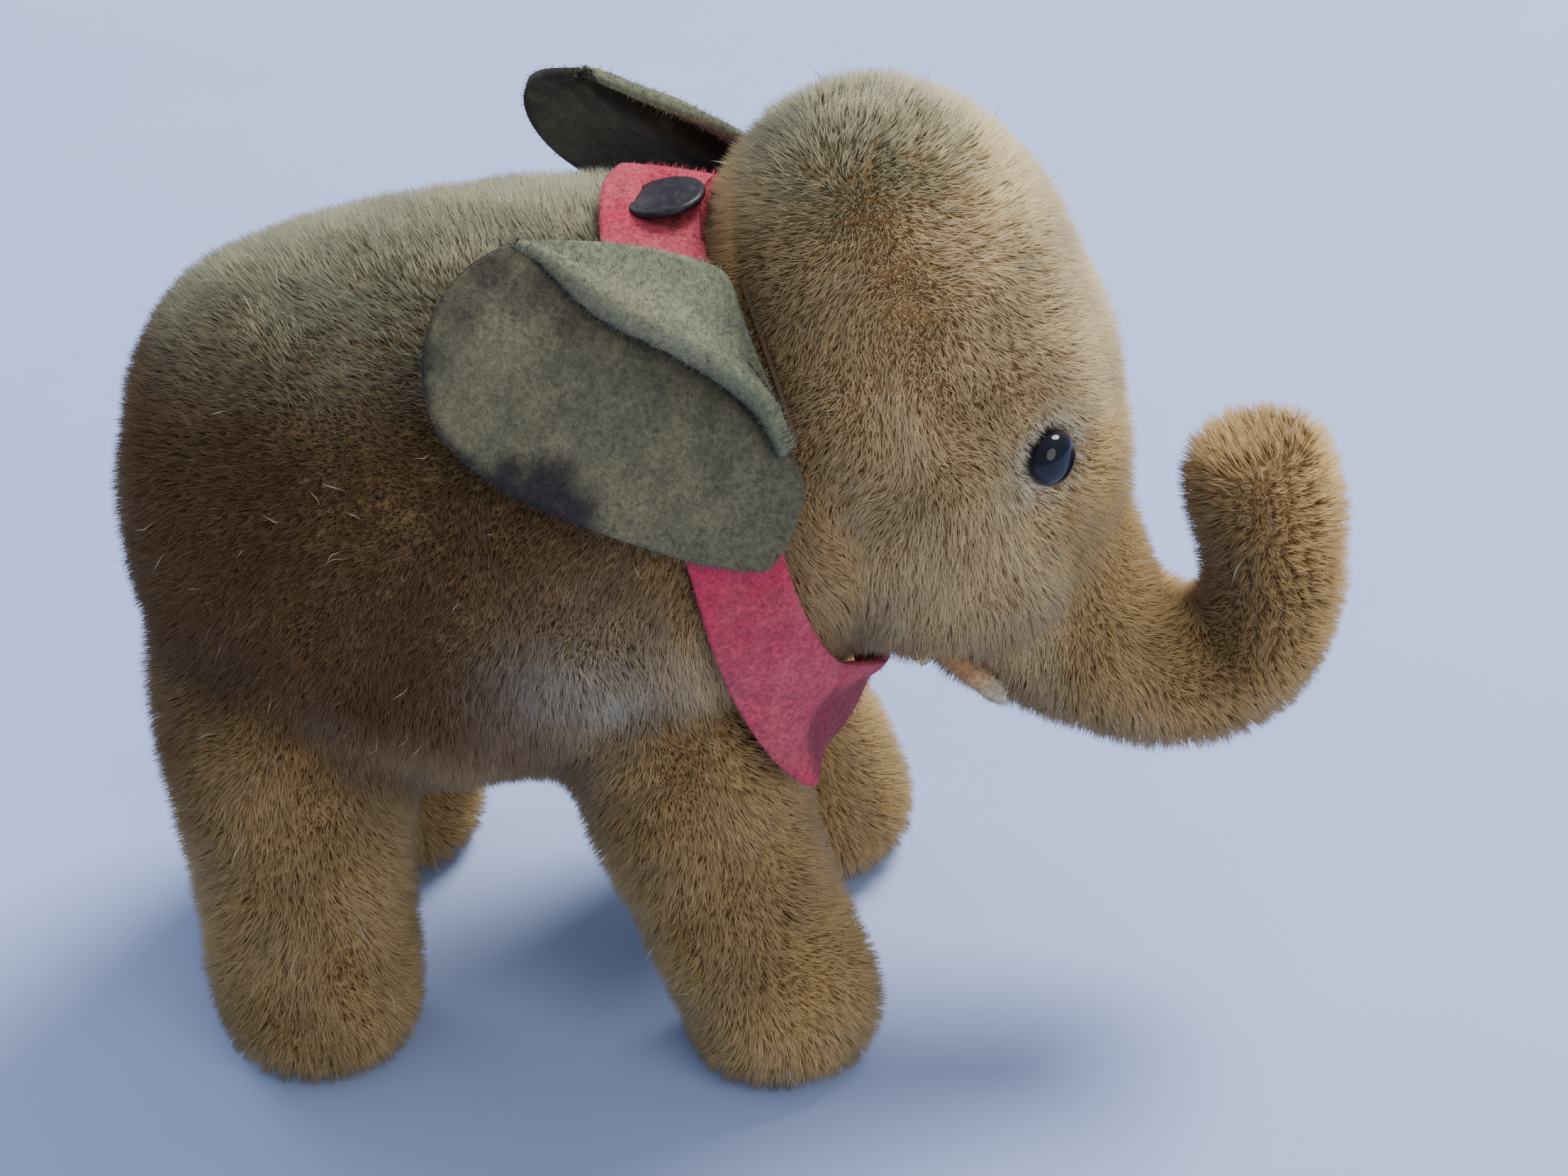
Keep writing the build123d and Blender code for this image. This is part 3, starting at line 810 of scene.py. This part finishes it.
# up, outward, radius and depth of each stain on the ears' felt
EAR_STAINS = [(3.4, 20.4, 3.0, 1.0), (1.4, 18.9, 2.4, 1.0), (5.6, 22.6, 2.0, 0.9), (4.6, 18.6, 1.6, 0.7),
              (19.6, 21.6, 2.4, 0.45), (21.6, 18.6, 2.0, 0.6), (16.6, 25.2, 1.4, 0.5), (13.5, 26.6, 1.1, 0.6),
              (10.5, 26.4, 0.9, 0.5), (8.2, 25.0, 0.9, 0.5), (18.6, 16.8, 2.0, 0.4), (15.6, 14.2, 1.4, 0.3)]


def ear_tones(flat, height, fold, settings):
    """Felt colours: grey-green below, paler above the fold and partly painted light there, painted shade in the
    pleat and under the fold, darker and stained along the outer rim.
    """
    up, out = flat[:, 0], flat[:, 1]
    grey, pale, stain = (np.array(values) for values in (settings.ear_grey, settings.ear_pale_and_lit, settings.ear_stain))
    # paler upper fold, partly painted light on the up-facing flap
    share = ramp(fold, 9.9, 10.8)[:, None]
    tone = grey * (1 - share) + pale * share
    # painted shade in the pleat's crevice, inside the fold
    tone = tone * (1 - 0.75 * ramp(fold, 4.9, 5.9) * ramp(-fold, -10.2, -9.7))[:, None]
    # painted shadow on the lower panel under the fold's ridge
    tone = tone * (1 - 0.6 * ramp(fold, 3.7, 5.0) * ramp(-fold, -10.2, -9.7))[:, None]
    rim = ramp(-fold, -0.3, -0.05) * ramp(out + 0.3 * up, 17, 24) * ramp(-fold, -1, 0)
    tone = tone * (1 - 0.6 * rim)[:, None]
    spots = np.stack([up, out, height], axis=1)
    blot = waves(spots, 2.2, 31, 2)
    warm = np.clip(blot[:, :1] * 0.35, 0, 0.2)
    tone = tone * (1 - warm) + np.array([0.29, 0.25, 0.15]) * warm
    marks = np.zeros(len(up))
    for u, v, spread, depth in EAR_STAINS:
        away = np.hypot(up - u, out - v) + 0.5 * blot[:, 1]
        marks = np.maximum(marks, depth * np.clip((1.25 - away / spread) * 1.4, 0, 1))
    marks = np.clip(marks, 0, 0.92)[:, None]
    return tone * (1 - marks) + stain * marks


def thickened(name, grid, thick, colours):
    """A closed sheet of felt from a grid of points, its two faces joined by a band round the rim."""
    rows, across = grid.shape[:2]
    along = np.gradient(grid, axis=0)
    over = np.gradient(grid, axis=1)
    facing = unit(np.cross(along, over))
    half = thick / 2
    layers = np.concatenate([(grid + facing * half).reshape(-1, 3), (grid - facing * half).reshape(-1, 3)])
    quads = []
    number = np.arange(rows * across).reshape(rows, across)
    patches = np.stack([number[:-1, :-1], number[1:, :-1], number[1:, 1:], number[:-1, 1:]], axis=-1)
    quads.append(patches.reshape(-1, 4))
    quads.append(quads[0][:, ::-1] + rows * across)
    rim = np.concatenate([number[0, :-1], number[:-1, -1], number[-1, :0:-1], number[:0:-1, 0]])
    after = np.roll(rim, -1)
    quads.append(np.stack([rim, after, after + rows * across, rim + rows * across], axis=-1))
    quads = np.concatenate(quads)
    triangles = np.concatenate([quads[:, [0, 1, 2]], quads[:, [0, 2, 3]]])
    mesh = triangle_mesh(name, layers, triangles)
    # the back face gets the same colours painted 0.8 as dark: painted shade on the side turned towards the body
    paint(mesh, "tone", np.concatenate([colours, colours * 0.8]))
    closed(mesh, 0.004 * MM)
    return mesh


def fuzz(name, mesh, count, long, wide, tones, lean, seed, body, material):
    """Short loose fibres over a piece of felt."""
    dice = np.random.default_rng(seed)
    place, facing = scattered(mesh, count, dice)
    comb = dice.normal(size=(count, 3)) * lean
    tip = place + unit(facing + comb) * (long * (0.4 + dice.random(count)))[:, None]
    width = wide * (0.7 + 0.6 * dice.random(count))
    tree = BVHTree.FromPolygons(points_of(mesh).tolist(), triangles_of(mesh).tolist())
    corners = triangles_of(mesh)
    source = mesh.color_attributes["tone"]
    shades = np.empty(4 * len(mesh.vertices), np.float32)
    source.data.foreach_get("color", shades)
    shades = shades.reshape(-1, 4)[:, :3]
    picked = [tree.find_nearest(Vector(spot))[2] for spot in place]
    colours = shades[corners[picked]].mean(axis=1) * (0.9 + 0.8 * dice.random(count))[:, None] + tones
    bent = np.zeros(count, bool)
    made = add_object(name, tufts(name, place - facing * 0.1 * MM, tip, tip, width, bent, colours, dice))
    made.data.materials.append(material)
    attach(made, body)
    return made


def ear(side, sign, settings, felt, fibres):
    low, up, outward, away = ear_axes(sign)
    rows, across = 72, 84
    sheet, folds = ear_sheet(rows, across)
    sheet[:, :, 2] += 0.25 * np.sin(sheet[:, :, 0] * 0.45) * np.sin(sheet[:, :, 1] * 0.32 + 0.6)
    flat = sheet.reshape(-1, 3)
    colours = ear_tones(flat[:, :2], flat[:, 2], folds.reshape(-1), settings)
    basis = np.array([up, outward, away])
    world = np.array(low) + (sheet * MM) @ basis
    name = "ear_felt_" + side
    mesh = thickened(name, world, settings.ear_thick, colours)
    made = add_object(name, mesh)
    mesh.materials.append(felt)
    node = "ear_" + side
    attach(made, node)
    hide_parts(node)
    fuzz("ear_fuzz_" + side, mesh, 16000, 0.6 * MM, 0.055 * MM, 0.03, 0.9, 41, node, fibres)


COLLAR_REAR = [(-8.2, 0, 77.2), (-7.4, 6.5, 76.2), (-5.6, 12.5, 72.8), (-3.4, 17.6, 68.0), (-1.2, 21.0, 62.0),
               (0.5, 22.8, 55.0), (1.5, 22.4, 48.0), (3.0, 21.0, 41.0), (5.4, 19.2, 34.4), (8.2, 17.0, 30.4),
               (8.6, 12.2, 30.9), (9.8, 6.0, 29.4), (11.0, 0, 29.6)]
COLLAR_FRONT = [(1.2, 0, 77.4), (1.7, 6.0, 76.2), (2.6, 10.6, 73.0), (4.0, 14.8, 68.0), (6.2, 18.4, 62.0),
                (8.0, 20.4, 55.0), (9.2, 19.4, 49.0), (10.2, 17.2, 44.6), (10.8, 14.0, 41.4), (11.8, 10.2, 38.9),
                (12.6, 6.6, 36.6), (12.8, 3.2, 34.6), (12.8, 0, 34.0)]


def collar_grid(rows, across):
    """The band's felt: once round the neck, its ends lapped over each other at the nape."""
    loops = []
    for half in (COLLAR_REAR, COLLAR_FRONT):
        left = [(x, y, z) for x, y, z in half]
        right = [(x, -y, z) for x, y, z in half[-2::-1]]
        line = left + right
        tail = [(line[1][0], 4.6, line[1][2] + 0.5)]
        start = [(line[1][0], -4.6, line[1][2] + 0.4)]
        loops.append(even_line(np.array(start + line + tail) * MM, rows))
    share = np.linspace(0, 1, across)[None, :, None]
    return loops[0][:, None] * (1 - share) + loops[1][:, None] * share


def lift_clear(grid, tree, gap, passes):
    """Moves a grid's points out of what they would lie in, and smooths the sheet between passes."""
    for step in range(passes):
        flat = grid.reshape(-1, 3)
        for number, spot in enumerate(flat):
            near_point, facing, _, _ = tree.find_nearest(Vector(spot))
            off = (Vector(spot) - near_point).dot(facing)
            if off < gap:
                flat[number] = np.array(near_point + facing * gap)
        grid = flat.reshape(grid.shape)
        if step < passes - 1:
            calm = grid.copy()
            calm[1:-1] = (grid[:-2] + 2 * grid[1:-1] + grid[2:]) / 4
            calm[:, 1:-1] = (calm[:, :-2] + 2 * calm[:, 1:-1] + calm[:, 2:]) / 4
            grid = calm
    return grid


def collar(settings, felt, fibres, cad_tree):
    grid = collar_grid(190, 26)
    share = np.linspace(0, 1, grid.shape[1])[None, :]
    crease = 17.0 - 3.5 * share + 2.2 * np.sin(math.pi * share)
    inside = ramp(crease - np.abs(grid[:, :, 1]) / MM, 0, 0.8) * ramp(-share, -0.92, -0.72)
    inside = inside * (grid[:, :, 2] < 46 * MM)
    grid = grid - inside[:, :, None] * np.array([0.9, 0, -0.3]) * MM
    grid = lift_clear(grid, cad_tree, 0.35 * MM, 5)
    along = np.linspace(0, 1, grid.shape[0])
    lap = ramp(along, 0.945, 0.975)[:, None, None]
    grid = grid + lap * np.array([0, 0, settings.collar_thick + 0.12 * MM])
    red, worn = np.array(settings.collar_red), np.array(settings.collar_worn)
    blot = np.clip(0.5 + 0.6 * waves(grid.reshape(-1, 3), 2.4 * MM, 51, 1), 0, 1)
    tone = red * (1 - 0.55 * blot) + worn * 0.55 * blot
    # painted shade: where the band turns across the chest under the head, its colour is painted half as dark
    tone = tone * (1 - 0.5 * inside.reshape(-1))[:, None]
    mesh = thickened("collar_band", grid, settings.collar_thick, tone)
    made = add_object("collar_band", mesh)
    mesh.materials.append(felt)
    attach(made, "root")
    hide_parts("collar_felt")
    fuzz("collar_fuzz", mesh, 12000, 0.5 * MM, 0.05 * MM, 0.03, 0.9, 61, "root", fibres)


# ---------------------------------------------------------------- small hard pieces

def lathe(name, profile, turns, place, aim):
    """A closed turned piece from (radius, height) pairs, the first and last on the axis."""
    points, rows = [], []
    for radius, height in profile:
        if radius < 1e-9:
            rows.append([len(points)])
            points.append((0, 0, height))
        else:
            rows.append(list(range(len(points), len(points) + turns)))
            for step in range(turns):
                angle = 2 * math.pi * step / turns
                points.append((radius * math.cos(angle), radius * math.sin(angle), height))
    faces = []
    for low, high in zip(rows, rows[1:]):
        for step in range(turns):
            after = (step + 1) % turns
            if len(low) == 1:
                faces.append((low[0], high[after], high[step]))
            elif len(high) == 1:
                faces.append((low[step], low[after], high[0]))
            else:
                faces.append((low[step], low[after], high[after], high[step]))
    mesh = bpy.data.meshes.new(name)
    mesh.from_pydata([Vector(point) * MM for point in points], [], faces)
    closed(mesh)
    made = add_object(name, mesh)
    turn = Vector((0, 0, 1)).rotation_difference(Vector(aim)).to_matrix().to_4x4()
    made.matrix_world = Matrix.Translation(Vector(place)) @ turn
    return made


def eyes(settings):
    shader = Shader("eye_gloss")
    depth = shader.noise(260, 2)
    tint = shader.mix(depth, rgba(settings.eye_black, 0.7), rgba(settings.eye_black, 1.8))
    scuffs = shader.noise(5200, 4)
    shader.bump(scuffs, 0.03, 0.00004)
    material = shader.finish(Base_Color=tint, Roughness=0.06, Specular_IOR_Level=0.3, Coat_Weight=0.08,
                             Coat_Roughness=0.03)
    profile = [(0, -1.0), (1.9, -1.0), (2.25, -0.85), (2.4, -0.55), (2.42, -0.2), (2.36, 0.15), (2.2, 0.5),
               (1.95, 0.82), (1.6, 1.1), (1.2, 1.3), (0.75, 1.44), (0.35, 1.49), (0, 1.5)]
    for side, sign in SIDES.items():
        aim = (math.sin(EYE_FORWARD), sign * math.cos(EYE_FORWARD), 0)
        made = lathe("eye_button_" + side, profile, 64, mirrored(EYE, sign), aim)
        made.data.materials.append(material)
        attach(made, "root")
        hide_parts("eye_" + side)


def tusks(settings, felt, fibres):
    """Rolled felt tusks: tapered, faintly ribbed by the rolling, blunt at the tip."""
    profile = [(0, -0.5), (1.2, -0.5), (1.4, -0.2), (1.36, 1.5), (1.3, 3.0), (1.22, 4.4), (1.12, 5.8), (1.0, 7.0),
               (0.86, 7.7), (0.6, 8.2), (0.3, 8.45), (0, 8.5)]
    for side, sign in SIDES.items():
        root, tip = Vector(mirrored(TUSK_ROOT, sign)), Vector(mirrored(TUSK_TIP, sign))
        made = lathe("tusk_roll_" + side, profile, 48, root, (tip - root).normalized())
        mesh = made.data
        points = points_of(mesh)
        angle = np.arctan2(points[:, 1], points[:, 0])
        swell = 1 + 0.05 * np.sin(angle * 2 + points[:, 2] / MM * 0.5) + 0.03 * np.sin(points[:, 2] / MM * 3)
        points[:, :2] *= swell[:, None] * 0.8
        mesh.vertices.foreach_set("co", points.astype(np.float32).ravel())
        pale = ramp(points[:, 2] / MM, 4.5, 8.0)[:, None]
        tone = np.array(settings.tusk_tan) * (1 - pale) + np.array(settings.tusk_white) * pale
        tone = tone * (1 + 0.12 * waves(points, 1.5 * MM, 71, 1))
        paint(mesh, "tone", tone)
        mesh.transform(made.matrix_world)
        made.matrix_world = Matrix.Identity(4)
        mesh.materials.append(felt)
        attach(made, "root")
        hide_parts("tusk_" + side)
        fuzz("tusk_fuzz_" + side, mesh, 1800, 0.5 * MM, 0.05 * MM, 0.05, 0.9, 72, "root", fibres)


def stud(settings):
    """The press stud's domed cap, dull lacquer over metal, worn lighter in patches."""
    shader = Shader("stud_lacquer")
    wear = shader.noise(1500, 5)
    tint = shader.mix(shader.steps(wear, 0.45, 0.7), rgba(settings.stud_dark), rgba((0.04, 0.03, 0.035)))
    rough = shader.node("ShaderNodeMapRange", [("Value", wear), ("To Min", 0.32), ("To Max", 0.55)])
    shader.bump(wear, 0.15, 0.00008)
    material = shader.finish(Base_Color=tint, Roughness=rough.outputs["Result"], Specular_IOR_Level=0.3)
    low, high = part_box("stud_cap")
    place = Vector(((low.x + high.x) / 2, (low.y + high.y) / 2, low.z))
    profile = [(0, 0.0), (3.1, 0.0), (3.3, 0.12), (3.35, 0.35), (3.25, 0.58), (2.95, 0.72), (2.7, 0.68),
               (2.5, 0.72), (2.1, 0.86), (1.5, 0.96), (0.8, 1.02), (0, 1.04)]
    made = lathe("stud_dome", profile, 72, place, (-0.12, 0, 1))
    made.data.materials.append(material)
    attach(made, "root")
    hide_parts("stud_cap")
    frame["nodes"]["stud_socket"].data.materials.clear()
    frame["nodes"]["stud_socket"].data.materials.append(material)


def tail(settings, material):
    """A twisted cord tail, three plies laid round each other, with a frayed end."""
    low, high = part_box("tail")
    x = (low.x + high.x) / 2
    steps, ring, plies, turns, ply_radius = 90, 10, 3, 5.5, 0.42 * MM
    points, faces = [], []
    start = 0
    for ply in range(plies):
        for step in range(steps):
            share = step / (steps - 1)
            z = high.z - 0.5 * MM - share * (high.z - low.z - 2.6 * MM)
            angle = 2 * math.pi * (ply / plies + share * turns)
            taper = ply_radius * min(1, 6 * share + 0.45, 7 * (1 - share) + 0.3)
            middle = Vector((x + ply_radius * math.cos(angle), ply_radius * math.sin(angle), z))
            for corner in range(ring):
                turn = 2 * math.pi * corner / ring
                points.append(middle + Vector((taper * math.cos(turn), taper * math.sin(turn), 0)))
        for step in range(steps - 1):
            for corner in range(ring):
                a = start + step * ring + corner
                b = start + step * ring + (corner + 1) % ring
                faces.append((a, b, b + ring, a + ring))
        faces.append(tuple(start + corner for corner in range(ring))[::-1])
        faces.append(tuple(start + (steps - 1) * ring + corner for corner in range(ring)))
        start += steps * ring
    mesh = bpy.data.meshes.new("tail_cord")
    mesh.from_pydata(points, [], faces)
    closed(mesh)
    mesh.materials.append(material)
    made = add_object("tail_cord", mesh)
    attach(made, "tail")
    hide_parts("tail")
    dice = np.random.default_rng(81)
    count = 260
    angle = dice.random(count) * 2 * math.pi
    radius = 0.5 * MM * np.sqrt(dice.random(count))
    root = np.stack([x + radius * np.cos(angle), radius * np.sin(angle), np.full(count, low.z + 2.3 * MM)], axis=1)
    tip = root + np.stack([0.35 * radius * np.cos(angle), 0.35 * radius * np.sin(angle),
                           -(1.4 + 0.8 * dice.random(count)) * MM], axis=1)
    tone = np.array(settings.cord) * (0.6 + dice.random(count))[:, None] * 1.6
    tuft = tufts("tail_tuft", root, tip, tip, np.full(count, 0.12 * MM), np.zeros(count, bool), tone, dice)
    tuft.materials.append(bpy.data.materials["mohair_tufts"])
    end = add_object("tail_tuft", tuft)
    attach(end, "tail")


# ---------------------------------------------------------------- operators

def settings_of(name):
    return getattr(bpy.context.scene, "elephant_" + name)


def cad_skin_tree():
    mesh = joined("outer_skin", [name for name in SKIN_NODES if name.startswith("plush_")])
    tree = BVHTree.FromPolygons(points_of(mesh).tolist(), triangles_of(mesh).tolist())
    bpy.data.meshes.remove(mesh)
    return tree


class ELEPHANT_OT_ears(bpy.types.Operator):
    """Makes both felt ears with their pleat, stains and fuzz"""
    bl_idname = "elephant.ears"
    bl_label = "Ears"

    def execute(self, context):
        settings = settings_of("felt")
        felt, fibres = felt_material("ear_felt"), felt_material("ear_fibres", strength=0.2)
        for side, sign in SIDES.items():
            ear(side, sign, settings, felt, fibres)
        return {"FINISHED"}


class ELEPHANT_OT_collar(bpy.types.Operator):
    """Makes the red felt collar and its press stud"""
    bl_idname = "elephant.collar"
    bl_label = "Collar and stud"

    def execute(self, context):
        felt, fibres = felt_material("collar_felt"), felt_material("collar_fibres", strength=0.2)
        collar(settings_of("felt"), felt, fibres, cad_skin_tree())
        stud(settings_of("hardware"))
        return {"FINISHED"}


class ELEPHANT_OT_face(bpy.types.Operator):
    """Makes the button eyes and the rolled felt tusks"""
    bl_idname = "elephant.face"
    bl_label = "Eyes and tusks"

    def execute(self, context):
        eyes(settings_of("hardware"))
        tusks(settings_of("felt"), felt_material("tusk_felt"), felt_material("tusk_fibres", strength=0.2))
        return {"FINISHED"}


class ELEPHANT_OT_plush(bpy.types.Operator):
    """Makes the woven backing and grows the mohair pile on it"""
    bl_idname = "elephant.plush"
    bl_label = "Plush"

    def execute(self, context):
        settings = settings_of("pile")
        skin = skin_surface(settings)
        skin.data.materials.clear()
        skin.data.materials.append(backing_material(settings))
        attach(skin, "root")
        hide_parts(*SKIN_NODES)
        names = ["collar_band", "stud_dome", "ear_felt_left", "ear_felt_right", "tusk_roll_left", "tusk_roll_right"]
        grow_pile(skin, settings, pile_covers(names))
        return {"FINISHED"}


class ELEPHANT_OT_tail(bpy.types.Operator):
    """Makes the twisted tail and finishes the hidden wires and threads"""
    bl_idname = "elephant.tail"
    bl_label = "Tail and threads"

    def execute(self, context):
        settings = settings_of("hardware")
        tail(settings, thread_material("tail_ply", settings.cord))
        sewing = thread_material("sewing_thread", settings.thread)
        wire = Shader("shank_wire")
        drawn = wire.noise(2400, 2)
        tint = wire.mix(drawn, rgba((0.30, 0.29, 0.28)), rgba((0.52, 0.51, 0.50)))
        metal = wire.finish(Base_Color=tint, Roughness=0.35, Metallic=1.0)
        for name, node in frame["nodes"].items():
            if "thread" in name or "shank" in name:
                node.data.materials.clear()
                node.data.materials.append(metal if "shank" in name else sewing)
        return {"FINISHED"}


def light(name, place, aim, size, power, tint):
    lamp = bpy.data.lights.new(name, "AREA")
    lamp.shape = "DISK"
    lamp.size = size
    lamp.energy = power
    lamp.color = tint
    made = bpy.data.objects.new(name, lamp)
    bpy.context.scene.collection.objects.link(made)
    made.location = place
    made.rotation_euler = (Vector(aim) - Vector(place)).to_track_quat("-Z", "Y").to_euler()
    return made


class ELEPHANT_OT_stage(bpy.types.Operator):
    """Makes the plain floor, the soft light and the camera"""
    bl_idname = "elephant.stage"
    bl_label = "Stage"

    def execute(self, context):
        settings = settings_of("stage")
        mesh = bpy.data.meshes.new("floor")
        reach = 3.0
        mesh.from_pydata([(-reach, -reach, 0), (reach, -reach, 0), (reach, reach, 0), (-reach, reach, 0)], [],
                         [(0, 1, 2, 3)])
        floor = add_object("floor", mesh)
        shader = Shader("floor_cloth")
        soft = shader.noise(30, 2)
        tint = shader.mix(soft, rgba(settings.floor, 0.95), rgba(settings.floor, 1.03))
        mesh.materials.append(shader.finish(Base_Color=tint, Roughness=0.9, Specular_IOR_Level=0.1))

        back = Vector((math.sin(settings.azimuth) * math.cos(settings.elevation),
                       -math.cos(settings.azimuth) * math.cos(settings.elevation), math.sin(settings.elevation)))
        right = Vector((math.cos(settings.azimuth), math.sin(settings.azimuth), 0))
        up = back.cross(right)
        level, tilt = math.cos(settings.roll), math.sin(settings.roll)
        across, above = right * level + up * tilt, up * level - right * tilt
        lens = bpy.data.cameras.new("camera")
        lens.lens = settings.lens
        lens.sensor_width = 36.0
        lens.clip_start = 0.01
        lens.clip_end = 20.0
        camera = bpy.data.objects.new("camera", lens)
        context.scene.collection.objects.link(camera)
        turn = Matrix((across, above, back)).transposed().to_4x4()
        camera.matrix_world = Matrix.Translation(Vector(settings.target) + back * settings.distance) @ turn
        context.scene.camera = camera

        middle = (0, 0, 0.045)
        light("window", (0.42, 0.42, 0.85), middle, 0.5, 15.0, (1.0, 0.98, 0.95))
        light("room", (0.55, -0.75, 0.55), middle, 0.8, 4.6, (1.0, 0.96, 0.90))
        light("bounce", (-0.6, 0.5, 0.5), middle, 0.6, 2.0, (0.90, 0.95, 1.0))
        world = bpy.data.worlds.new("room")
        world.use_nodes = True
        world.node_tree.nodes["Background"].inputs["Color"].default_value = (0.68, 0.80, 1.0, 1.0)
        world.node_tree.nodes["Background"].inputs["Strength"].default_value = 0.5
        context.scene.world = world
        return {"FINISHED"}


OPERATORS = (ELEPHANT_OT_ears, ELEPHANT_OT_collar, ELEPHANT_OT_face, ELEPHANT_OT_plush, ELEPHANT_OT_tail,
             ELEPHANT_OT_stage)


class ELEPHANT_PT_panel(bpy.types.Panel):
    """The pieces of the plush elephant, in the order they are made"""
    bl_label = "Plush elephant"
    bl_idname = "ELEPHANT_PT_panel"
    bl_space_type = "VIEW_3D"
    bl_region_type = "UI"
    bl_category = "Plush elephant"

    def draw(self, context):
        for made in OPERATORS:
            self.layout.operator(made.bl_idname)
        for name, group in GROUPS.items():
            box = self.layout.box()
            box.label(text=name.capitalize())
            for key in group.__annotations__:
                box.prop(settings_of(name), key)


def register():
    for group in GROUPS.values():
        bpy.utils.register_class(group)
    for made in (*OPERATORS, ELEPHANT_PT_panel):
        bpy.utils.register_class(made)
    for name, group in GROUPS.items():
        setattr(bpy.types.Scene, "elephant_" + name, PointerProperty(type=group))


def unregister():
    for name in GROUPS:
        delattr(bpy.types.Scene, "elephant_" + name)
    for made in (ELEPHANT_PT_panel, *reversed(OPERATORS), *reversed(GROUPS.values())):
        bpy.utils.unregister_class(made)


def main():
    register()
    for made in OPERATORS:
        group, name = made.bl_idname.split(".")
        getattr(getattr(bpy.ops, group), name)()


if __name__ == "__main__":
    main()
